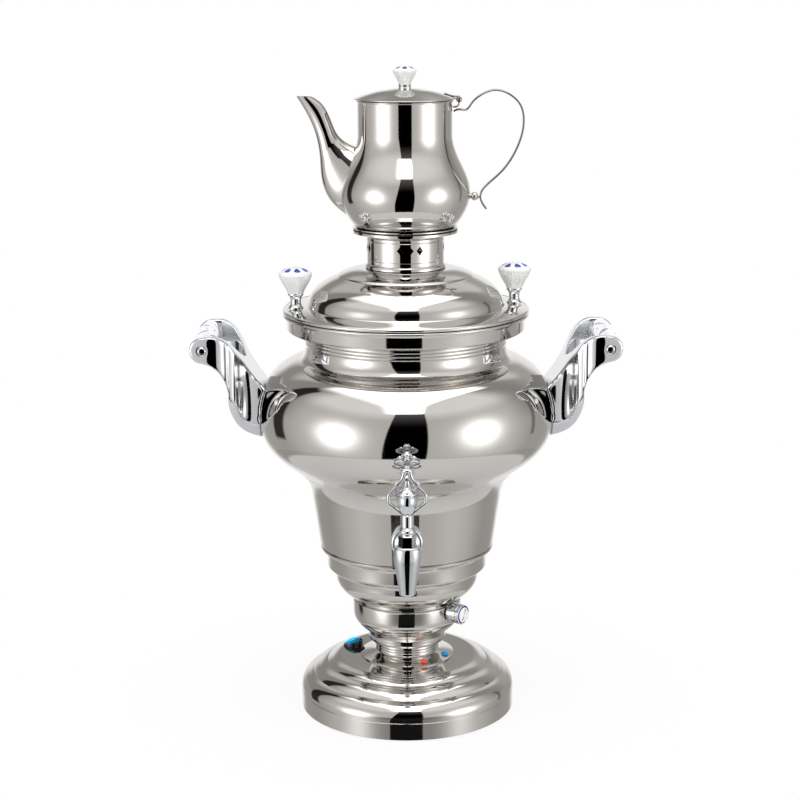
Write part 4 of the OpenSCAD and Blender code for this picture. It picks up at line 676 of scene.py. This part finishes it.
tap_y, tap_z = 131.0, 160.5
tap_chrome = cast_metal("tap_chrome", (0.70, 0.725, 0.75), 0.04)
forward = Matrix.Translation((0, 0, tap_z * MM)) @ Matrix.Rotation(math.pi / 2, 4, "X")
upright = Matrix.Translation((0, -tap_y * MM, tap_z * MM))
rosette_line = chain(
    [[12.6, 66], [12.6, 77.6]], swell((12.6, 77.6), (10.6, 79.6), 0.55, 6),
    [[10.2, 79.6]], swell((10.2, 79.6), (8.2, 82.0), 0.6, 6), [[7.4, 82.6], [7.0, 82.9]])
piece("tap_rosette_turned", [placed(solid(rosette_line, sides=96), forward)], "samovar",
      tap_chrome, ["tap_rosette"])
barrel_line = chain(
    [[3.8, -9], [3.8, -23.9], [4.2, -24.2], [5.2, -24.3]],
    swell((5.2, -24.3), (6.0, -23.5), 0.15, 4),
    bez((6.0, -23.5), (7.0, -16), (9.2, -5), (10.0, 2.4)),
    bez((10.0, 2.4), (10.3, 5.6), (10.3, 7.4), (10.2, 10.2), 8),
    swell((10.2, 10.2), (9.0, 13.2), 0.3, 5), [[7.6, 13.7]])
shank_line = np.array([[7.0, 63.8], [7.0, 86], [6.6, 88], [6.6, 126.5]])
flatness = 0.75
oval_way = upright @ Matrix.Scale(flatness, 4, (0, 1, 0))
piece("tap_body_cast", [placed(solid(barrel_line, sides=96), oval_way),
                        placed(solid(shank_line, sides=64), forward)],
      "samovar", tap_chrome, ["tap_body"])
bonnet_line = chain([[6.9, 13.6], [6.9, 14.2], [6.7, 14.8], [6.7, 22], [6.2, 22.5]])
gland_line = chain([[5.3, 22.5], [5.3, 23.5]], swell((5.3, 23.5), (5.3, 27.6), 1.0, 8),
                   [[4.7, 28.6]])
piece("tap_bonnet_turned", [placed(solid(bonnet_line, sides=6), upright)], "samovar",
      tap_chrome, ["tap_bonnet"])
piece("gland_nut_turned", [placed(solid(gland_line, sides=80), upright)], "samovar",
      tap_chrome, ["gland_nut"])

key_z = 38.5
crown_up, crown_wide, crown_high = 40.0, 9.6, 3.2
stem_line = chain([[4.9, 28.9], [4.9, key_z - 0.8], [4.3, key_z]])
side_bar = chain(
    [[3.4, 0.0], [12.4, 7.4]], bez((12.4, 7.4), (13.5, 8.4), (13.8, 8.8), (13.8, 10.4), 6),
    [[13.8, 12.6]], bez((13.8, 12.6), (13.8, 14.6), (13.4, 15.2), (12.2, 16.4), 6), [[7.8, 20.6]])
neck_bar = bez((8.0, 22.4), (5.0, 24.2), (2.8, 26.4), (2.0, 32.4), 14)
key_parts = [placed(solid(stem_line, sides=64), upright)]
flip = Matrix.Scale(-1, 4, (1, 0, 0))
above = upright @ Matrix.Translation((0, 0, key_z * MM))
curl = swell((0.01, 0), (0.01, 3.6), 1.8, 10)
for turn in (Matrix.Identity(4), flip):
    key_parts += [placed(bar(side_bar, 2.0, 1.6, 2.1), above @ turn),
                  placed(bar(neck_bar, 1.9, np.linspace(1.6, 1.8, 15), 2.1), above @ turn),
                  placed(solid(curl, sides=32), above @ turn @ Matrix.Translation(
                      (7.9 * MM, 0, 20.8 * MM)))]
# the crown is an oval ring of nearly square section with a thin bar and three dots across it
a = np.linspace(0, 2 * np.pi, 64, endpoint=False)
oval = np.stack([crown_wide * np.cos(a), crown_up + crown_high * np.sin(a)], 1)
loop = np.concatenate([oval[-1:], oval, oval[:1]])
slope = loop[2:] - loop[:-2]
slope /= np.linalg.norm(slope, axis=1)[:, None]
b = np.linspace(0, 2 * np.pi, 20, endpoint=False)
square = np.sign([np.sin(b), np.cos(b)]) * np.abs([np.sin(b), np.cos(b)]) ** 0.4
crown_thick, crown_deep = 0.65, 1.2
grid = np.stack([oval[:, :1] + slope[:, 1:] * square[0] * crown_thick,
                 crown_deep * square[1] + 0 * oval[:, :1],
                 oval[:, 1:] - slope[:, :1] * square[0] * crown_thick], -1) * MM
key_parts.append(placed(skin(grid, ends=True), above))
neck_collar = chain([[2.2, 31.8]], swell((2.2, 32.5), (2.2, 34.9), 3.0, 8),
                    [[1.6, 35.4], [1.4, 37]])
finial_line = chain([[3.2, 41.6]], swell((3.2, 42), (2.0, 44.2), -0.7, 5),
                    swell((2.0, 44.2), (2.4, 46.6), 0.9, 6), [[1.6, 48.0]])
for x in (-5.2, 0, 5.2):
    dot = swell((0.01, 0), (0.01, 3.0), 1.5, 8)
    key_parts.append(placed(solid(dot, crown_up + (1.4 if x else 1.9), 24),
                            above @ Matrix.Translation((x * MM, 0, 0))))
key_parts += [placed(solid(q, sides=48), above) for q in (neck_collar, finial_line)]
cross = np.array([[-crown_wide + 0.6, crown_up], [crown_wide - 0.6, crown_up]])
key_parts.append(placed(bar(np.linspace(cross[0], cross[1], 12), 0.9, 0.45, 2.0, 16), above))
piece("tap_key_frame", key_parts, "key", tap_chrome, ["tap_key"])
bulb_line = chain(
    [[4.0, 0.3]], bez((4.4, 0.6), (6.0, 3.0), (7.6, 6.2), (7.6, 9.8), 14),
    bez((7.6, 9.8), (7.6, 12.4), (7.2, 13.6), (6.6, 14.6), 8), [[7.6, 15.3]],
    swell((7.6, 15.3), (7.4, 16.7), 0.4, 5),
    bez((7.0, 17.0), (4.2, 18.4), (2.6, 21), (1.7, 25.4), 14))
piece("key_bulb_turned", [placed(solid(bulb_line, sides=80), above)], "key", tap_chrome,
      ["key_bulb"])


# ---- Side handles ----
# Each handle is a polished, plated casting with two arms that rise from the belly to a pair of
# lugs. A glazed porcelain roller turns on a long bolt between the lugs.


def softened(name, voxel, rounds):
    """A copy of a CAD node with its hard edges eased: its doubles merged, rebuilt on a fine
    grid and smoothed, and every point then drawn towards its neighbours `rounds` times."""
    mesh = node[name].data.copy()
    work = bmesh.new()
    work.from_mesh(mesh)
    bmesh.ops.remove_doubles(work, verts=work.verts, dist=1e-6)
    work.to_mesh(mesh)
    work.free()
    thing = bpy.data.objects.new("soft_" + name, mesh)
    bpy.context.scene.collection.objects.link(thing)
    rebuild = thing.modifiers.new("rebuild", "REMESH")
    rebuild.mode, rebuild.voxel_size = "VOXEL", voxel
    ease = thing.modifiers.new("ease", "SMOOTH")
    ease.factor, ease.iterations = 0.5, rounds
    graph = bpy.context.evaluated_depsgraph_get()
    done = bpy.data.meshes.new_from_object(thing.evaluated_get(graph))
    bpy.data.objects.remove(thing)
    return done


# The outer faces of the fork are dished: highest at this x, and toed in at the lugs, where
# they lean in by toe millimetres to each millimetre outwards after a rounded start.
crest, toe, rounded = 151.0, 0.14, 4.4
for hand in ("left", "right"):
    mesh = softened("handle_bracket_" + hand, 0.0008, 22)
    spots = np.empty(3 * len(mesh.vertices))
    mesh.vertices.foreach_get("co", spots)
    spots = spots.reshape(-1, 3)
    out, beside = np.abs(spots[:, 0]) / MM, np.abs(spots[:, 1]) / MM
    inward, outward = np.clip(crest - out, 0, 10), np.maximum(out - crest, 0)
    sunk = 0.014 * inward**2 + 0.0012 * inward**3
    sunk += toe / 2 * np.where(outward < rounded, outward**2 / rounded, 2 * outward - rounded)
    sunk *= np.interp(beside, [38, 42.5], [0, 1]) * np.interp(out, [crest - 45, crest - 10], [0, 1])
    spots[:, 1] -= np.sign(spots[:, 1]) * sunk * MM
    mesh.vertices.foreach_set("co", spots.ravel())
    mesh.shade_smooth()
    mesh.materials.clear()
    mesh.materials.append(chrome)
    casting = bpy.data.objects.new("handle_casting_" + hand, mesh)
    bpy.context.scene.collection.objects.link(casting)
    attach(casting, "samovar")
    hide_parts("handle_bracket_" + hand)

lug_x, lug_z, fork_half, roller_half = 157.8, 304.7, 44.0, 35.4
roller_line = chain(
    [[8.6, 0], [9.1, 0.3], [9.7, 1.2]], swell((9.7, 1.2), (9.7, 2 * roller_half - 1.2), 0.6, 20),
    [[9.1, 2 * roller_half - 0.3], [8.6, 2 * roller_half]])


def sprigs(f):
    """Two rings of slanting leaf strokes and a ring of dots between them, in the UV map."""
    low, high = petals(5, 0.30, 0.10, 0.20, 0.35)(f), petals(5, 0.70, 0.10, 0.20, -0.35)(f)
    return low.high(high).high(petals(10, 0.5, 0.028, 0.16)(f))


roller_paint = porcelain("roller_porcelain", sprigs)
head_line = chain([[3.5, -1.6], [3.5, 0.2]], swell((3.5, 0.2), (2.3, 1.4), 0.25, 5),
                  [[1.7, 1.4], [1.6, 0.5]])
bolts = []
for side, hand in ((-1, "left"), (1, "right")):
    end = Matrix.Translation((side * lug_x * MM, roller_half * MM, lug_z * MM))
    along = end @ Matrix.Rotation(math.pi / 2, 4, "X")
    piece("grip_roller_" + hand, [placed(solid(roller_line, sides=128), along)], "samovar",
          roller_paint, ["grip_" + hand])
    for y in (-1, 1):
        spot = Matrix.Translation((side * lug_x * MM, y * fork_half * MM, lug_z * MM))
        bolts.append(placed(solid(head_line, sides=48),
                            spot @ Matrix.Rotation(-y * math.pi / 2, 4, "X")))
piece("grip_bolt_heads", bolts, "samovar", chrome, ["grip_bolts"])


# ---- Controls on the foot ----
# A heat dial on the thermostat's shaft, a round rocker switch with a blue lens in a black
# wedge-shaped bezel, and two small lamps in bright collars beside the waist.


def about(azimuth, r, z, tip=0.0):
    """The place at an angle from the tap, a radius and a height, with -Y pointing outwards."""
    out = Matrix.Rotation(math.radians(azimuth), 4, "Z") @ Matrix.Translation((0, -r * MM, z * MM))
    return out @ Matrix.Rotation(math.radians(tip), 4, "X")


dial_az, dial_z, dial_foot, dial_h, dial_r = 53.0, 86.5, 44.1, 12.1, 8.0
at_dial = about(dial_az, dial_foot, dial_z, 90)
dial_line = chain([[7.4, 0], [8, 0.6], [8, 9.0], [7.8, 9.3], [8, 9.6], [8, 11.7]],
                  swell((8, 11.7), (7.75, 12.1), 0.1, 4), [[7.7, 11.9]])
piece("dial_barrel", [placed(solid(dial_line, sides=96), at_dial)], "dial", tap_chrome,
      ["dial_knob"])
face = Finish("dial_enamel", Roughness=0.18, IOR=1.5)
u, v, _ = face.split(face.uv)
arc = (v - 0.20).size().step(0.09, 0.07) * u.step(0.0, 0.03) * u.step(0.71, 0.69)
two_ways = (u * 2.0).fraction()
pointer = (two_ways - 0.36).size().step(0.07, 0.04) * v.step(0.40, 0.45) * v.step(0.93, 0.88)
dot = ((u - 0.76).size() * 9.0 + (v - 0.22).size() * 4.0).step(0.50, 0.36)
blot = face.noise(900.0, 2.0).step(0.2, 0.8).blend((0.008, 0.03, 0.26), (0.02, 0.06, 0.36))
white = face.noise(300.0, 2.0).blend((0.80, 0.80, 0.80), (0.88, 0.88, 0.87))
face.set("Base Color", dot.blend(arc.high(pointer).blend(white, blot), (0.75, 0.03, 0.02)))
face.bump(face.noise(400.0), 0.1, 0.00003)
face_line = chain([[7.7, 0]], swell((7.7, 0.1), (0.02, 1.1), 0.25, 10))
piece("dial_face_disc", [placed(solid(face_line, sides=96), at_dial @ Matrix.Translation(
    (0, 0, dial_h * MM)))], "dial", face.material, ["dial_face"])

switch_az, switch_r, switch_z, switch_lean, rocker_tilt = 249.0, 48.0, 43.5, 15.0, 8.0
gloss_black = soft_black("gloss_black_plastic", (0.01, 0.01, 0.011), 0.16, 500.0)
bezel_r, bezel_h, barrel_low = 8.0, 2.5, -16.6
slope = math.tan(math.radians(switch_lean))
a = np.linspace(0, 2 * np.pi, 96, endpoint=False)
tiers = []
for r, top, height in ((7.5, False, barrel_low), (7.5, False, -0.6), (bezel_r, False, -0.6),
                       (bezel_r, True, -0.4), (bezel_r - 0.2, True, 0.0), (7.5, True, 0.0),
                       (7.3, True, -0.3), (7.3, True, -2.6), (0.02, True, -2.6)):
    x, y = r * np.cos(a), r * np.sin(a)
    z = bezel_h + y * slope + height if top else height + 0 * a
    tiers.append(np.stack([x, y, z], -1))
piece("switch_bezel", [placed(skin(np.stack(tiers) * MM), about(switch_az, switch_r, switch_z))],
      "samovar", gloss_black, ["switch_housing"])


def lens(name, tone, glow, strength):
    """Clear coloured plastic with a lamp behind it: it glows brightest in the middle, and its base
    colour has painted light, lighter in the middle and deep, darker, at its rim.
    """
    f = Finish(name, Roughness=0.06, IOR=1.49, Coat_Weight=0.3, Coat_Roughness=0.02)
    u, v, _ = f.split(f.uv)
    # painted light: the base colour is lighter in the middle, where the lamp behind shines through,
    # and darker at the rim
    middle = v.step(0.27, 0.40)
    cells = f.noise(1300.0, 1.0).step(0.35, 0.65)
    f.set("Base Color", (middle * 0.8 + cells * 0.2).blend(tuple(0.25 * c for c in tone), tone))
    lit = (middle * 0.75 + cells * 0.25).blend(tuple(0.1 * c for c in glow), glow)
    f.set("Emission Color", lit)
    f.set("Emission Strength", strength)
    return f.bump(f.noise(900.0, 1.0), 0.12, 0.00004).material


switch_lens = lens("switch_lens", (0.0, 0.36, 0.86), (0.0, 0.56, 1.0), 0.75)
blue_lens = lens("blue_lens", (0.0, 0.20, 0.50), (0.0, 0.52, 1.0), 0.2)
red_lens = lens("red_lens", (0.60, 0.03, 0.01), (1.0, 0.12, 0.04), 0.3)
rocker_line = chain([[5.6, -3], [6.36, -0.7], [6.4, 0], [6.5, 1.8], [6.6, 2.6], [6.55, 3.2]],
                    swell((6.4, 3.6), (0.02, 5.6), 0.5, 14))
piece("rocker_lens", [placed(solid(rocker_line, sides=80), about(
    switch_az, switch_r, switch_z, switch_lean + rocker_tilt))], "switch_rocker", switch_lens,
    ["rocker"])

lamp_r, plateau_z, lamp_ring = 3.0, 42.9, 33.0
collar_line = np.array([[3.4, -10], [3.4, 0], [4, 0], [4, 0.5], [3.7, 0.8], [3.4, 0.8], [3.2, 0.6],
                        [3.2, 0.2], [0.02, 0.2]])
lamp_line = chain([[lamp_r - 0.2, -8], [lamp_r - 0.2, 0.4]],
                  swell((lamp_r - 0.2, 0.4), (lamp_r, 2.4), 0.15, 4),
                  swell((lamp_r, 2.4), (0.02, 4.6), 0.85, 10))
collars = []
for azimuth, glass, slot, name in ((24.0, red_lens, "red_lens", "lamp_red"),
                                   (68.0, blue_lens, "blue_lens", "lamp_blue")):
    spot = about(azimuth, lamp_ring, plateau_z)
    collars.append(placed(solid(collar_line, sides=64), spot))
    piece(name + "_dome", [placed(solid(lamp_line, sides=48), spot)], "samovar", glass,
          [name])
piece("lamp_collars", collars, "samovar", chrome, ["lamp_holders"])


# ---- Inside, under and behind ----
# What is rarely seen: the closing plate and its rubber ring, the clamping rod, the element,
# the thermostat and its wires, the studs of the handles and the inlet for the cord.


def plain_metal(name, tone, dull):
    """Turned or pressed metal that isn't polished: fine tool marks, and darker where it is dull."""
    f = Finish(name, Metallic=1.0)
    x, y, z = f.split(f.place)
    marks = f.noise(1.0, 2.0, 0.6, f.place.add("ShaderNodeCombineXYZ", sockets={
        0: x * 900.0, 1: y * 900.0, 2: z * 3000.0}))
    worn = f.noise(60.0, 4.0, 0.6).step(0.4, 0.8)
    f.set("Base Color", worn.blend(tone, tuple(0.72 * c for c in tone)))
    f.set("Roughness", dull + 0.12 * worn + 0.08 * marks)
    return f.bump(marks, 0.3, 0.00004).material


brass = plain_metal("turned_brass", (0.72, 0.52, 0.24), 0.22)
satin_steel = plain_metal("satin_steel", (0.52, 0.51, 0.49), 0.28)
insulation = soft_black("white_insulation", (0.62, 0.61, 0.58), 0.4, 900.0)
matte_black = soft_black("satin_black_plastic", (0.014, 0.014, 0.015), 0.34, 900.0)
finishes = {
    satin_steel: ["bottom_cover", "heating_element", "tie_rod", "tie_nuts", "thermostat_nut",
                  "knob_nuts", "bracket_studs"],
    steel: ["lid_collar"],
    brass: ["element_nuts", "tap_lock_nut", "tap_plug", "inlet_pins"],
    rubber: ["foot_ring", "tap_gasket"],
    matte_black: ["thermostat", "thermal_cutout", "power_inlet"],
    insulation: ["terminal_block", "wiring_loom"],
}
for finish, names in finishes.items():
    for name in names:
        node[name].data.materials.clear()
        node[name].data.materials.append(finish)


# ---- Studio ----
# A round white table in a soft grey room. Two soft lamps stand left and right in front at the
# height of the urn, a wide white panel hangs overhead, and the camera's stand is a dark stripe.

world = bpy.data.worlds.new("room")
bpy.context.scene.world = world
world.use_nodes = True
tree = world.node_tree
look = Wire(tree, tree.nodes.new("ShaderNodeTexCoord").outputs["Generated"])
parts = look.add("ShaderNodeSeparateXYZ", sockets={0: look}).socket.node
dx, dy, dz = (Wire(tree, parts.outputs[k]) for k in range(3))
to_degrees = 180 / math.pi
side = dx.math("ARCTAN2", dx, dy * -1.0) * to_degrees
rise = dz.math("ARCSINE", dz) * to_degrees


def rays(tree):
    """1 for a ray that the camera sees by, and 1 for one that a piece mirrors or lets through."""
    out = tree.nodes.new("ShaderNodeLightPath").outputs
    mirrored = Wire(tree, out["Is Glossy Ray"]) + Wire(tree, out["Is Transmission Ray"])
    return Wire(tree, out["Is Camera Ray"]), mirrored


def panel(left, right, low, high, soft):
    """1 inside a box of azimuth, from the camera to the right, and elevation; soft at its edge."""
    return (side.step(left - soft, left + soft) * side.step(right + soft, right - soft)
            * rise.step(low - soft, low + soft) * rise.step(high + soft, high - soft))


def lamp_glow(azimuth, height, wide, high, power):
    """A soft round lamp: power times e to the minus squared distance, told in its half widths."""
    x, y = (side - azimuth) / wide, (rise - height) / high
    away = x * x + y * y
    return away.math("POWER", math.e, away * -1.0) * power


behind = side.size().step(84.0, 118.0)
level = 0.62 - 0.16 * behind - 0.12 * behind * rise.step(-4.0, 12.0)
level = level + 0.34 * side.size().step(140.0, 168.0) * rise.step(14.0, -4.0)
level = level + 0.34 * rise.step(24.0, 44.0) * (1.0 - behind)
level = level + 0.15 * dx.step(-0.15, 0.35) * dy.step(0.45, 0.8) * rise.step(2.0, 10.0)
beside_back = side.size().step(178.0, 162.0) * side.size().step(138.0, 150.0)
level = level + 0.30 * beside_back * rise.step(24.0, 34.0)
for azimuth, up in ((-55.0, -3.0), (59.0, -1.0)):
    level = level + lamp_glow(azimuth, up, 14.5, 14.5, 2.6)
    level = level + lamp_glow(azimuth, -6.0, 26.0, 30.0, 0.28)
level = level * (1.0 - 0.92 * panel(-124.0, -109.0, -19.0, 48.0, 2.0))
level = level * (1.0 - 0.5 * panel(112.0, 117.0, -16.0, 24.0, 1.5))
# a flat white panel overhead: its front edge is straight and its sides lean outwards behind
overhead = dz.high(0.05)
across, forward_way = dx / overhead, dy * -1.0 / overhead
lean_in = forward_way * (0.4 - 0.22 * forward_way.step(0.5, 1.1))
right_flank, left_flank = lean_in + across, lean_in - across
ceiling = (forward_way.step(1.20, 1.14) * right_flank.step(0.52, 0.49)
           * left_flank.step(0.66, 0.38) * forward_way.step(-0.5, -0.3))
level = level + ceiling * dz.step(0.3, 0.4) * 1.7
left_edge = rise * 0.15 - 15.7
stripe = ((side - left_edge).step(-0.6, 0.6) * side.step(16.8, 15.6) * rise.step(40.4, 39.2)
          * rise.step(-52.0, -46.0))
level = level * (1.0 - stripe * (1.0 - 0.12 * rise.step(14.0, 42.0)))
warmth = level.step(0.3, 1.3).blend((1.0, 0.972, 0.94), (1.0, 1.0, 1.0))
room = level.add("ShaderNodeVectorMath", {"operation": "SCALE"},
                 sockets={0: warmth, "Scale": level})
backdrop = side.size().step(150.0, 164.0) * rise.step(-50.0, -40.0) * rise.step(20.0, 10.0)
eye_ray, mirror_ray = rays(tree)
shown_white = (eye_ray + mirror_ray * backdrop).low(1.0)
tree.links.new(shown_white.blend(room, (1.0, 1.0, 1.0)).socket,
               tree.nodes["Background"].inputs["Color"])

# The table top. It is seen white; at a flat angle the metal mirrors the room in it, as a glossy top
# does, and at a steep one it mirrors the white top itself. Both views carry painted shade, deepest
# towards the camera's stand.
table_r = 470.0
points, faces, _ = skin(turned_points(np.array([[0.0, 0.0], [table_r, 0.0]]), 128))
floor_mesh = bpy.data.meshes.new("table_top")
floor_mesh.from_pydata(points, [], faces.tolist())
floor = bpy.data.objects.new("table_top", floor_mesh)
bpy.context.scene.collection.objects.link(floor)
paper = Finish("white_table", Roughness=0.6)
x, y, _ = paper.split(paper.place)
far = (x * x + y * y).root().step(0.12, 0.30)
paper.set("Base Color", paper.noise(900.0, 2.0).blend((0.80, 0.80, 0.80), (0.84, 0.84, 0.84)))
tree = paper.tree
eye_ray, mirror_ray = rays(tree)
back_x, back_y, back_z = paper.split(
    Wire(tree, tree.nodes.new("ShaderNodeNewGeometry").outputs["Incoming"]))
steepness = back_z.size().step(0.56, 0.60)
way = back_x.math("ARCTAN2", back_x * -1.0, back_y) * to_degrees
# painted shade: a band towards the camera's stand, in which the table darkens what the metal
# mirrors in it
near_stand = way.step(-52.0, -20.0) * way.step(58.0, 22.0) * back_z.size().step(0.56, 0.30)
share = eye_ray * (0.90 + 0.10 * far) + mirror_ray * 0.30


def mixed(factor, first, second):
    """The shader first where the factor is 0 and second where it is 1."""
    mix = tree.nodes.new("ShaderNodeMixShader")
    for socket, wanted in zip((factor.socket, first, second), mix.inputs):
        tree.links.new(socket, wanted)
    return mix.outputs[0]


glow, dark = tree.nodes.new("ShaderNodeEmission"), tree.nodes.new("ShaderNodeEmission")
dark.inputs["Strength"].default_value = 0.02
clear = tree.nodes.new("ShaderNodeBsdfTransparent")
glowing = mixed(share.low(1.0), paper.shader.outputs[0], glow.outputs[0])
# painted shade: at a steep angle, the table as the metal mirrors it is a quarter darker
painted_mirror_shade = mixed(mirror_ray * 0.25, glowing, dark.outputs[0])
# painted shade: at a flat angle, the room mirrored through the table is darkened by a tenth, and
# more towards the camera's stand
dimmed = mixed(0.10 + 0.55 * near_stand, clear.outputs[0], dark.outputs[0])
mirrored = mixed(mirror_ray * (1.0 - steepness), painted_mirror_shade, dimmed)
tree.links.new(mirrored, tree.nodes["Material Output"].inputs["Surface"])
floor_mesh.materials.append(paper.material)

# Two wide lamps in front light what isn't metal, such as the porcelain; metal doesn't show them.
middle_of_urn = Vector((0, 0, 0.3))
for name, x in (("left_fill", -0.9), ("right_fill", 0.9)):
    fill = bpy.data.lights.new(name, "AREA")
    fill.shape, fill.size, fill.energy = "DISK", 0.8, 5.0
    lamp = bpy.data.objects.new(name, fill)
    lamp.location = (x, -1.1, 1.0)
    facing = (middle_of_urn - lamp.location).to_track_quat("-Z", "Y")
    lamp.rotation_euler = facing.to_euler()
    lamp.visible_glossy = lamp.visible_camera = False
    bpy.context.scene.collection.objects.link(lamp)

# The camera stands a little above the urn's lid and looks down at it by 12.8 degrees.
eye_place, look_down, roll = (-0.0049, -1.4857, 0.5933), 12.8, -0.29
camera = bpy.data.cameras.new("camera")
camera.lens, camera.sensor_width = 85.7, 36.0
camera.clip_end = 50.0
eye = bpy.data.objects.new("camera", camera)
eye.matrix_world = (Matrix.Translation(eye_place)
                    @ Matrix.Rotation(math.radians(90 - look_down), 4, "X")
                    @ Matrix.Rotation(math.radians(roll), 4, "Z"))
bpy.context.scene.collection.objects.link(eye)
bpy.context.scene.camera = eye
bpy.context.scene.view_settings.view_transform = "Standard"
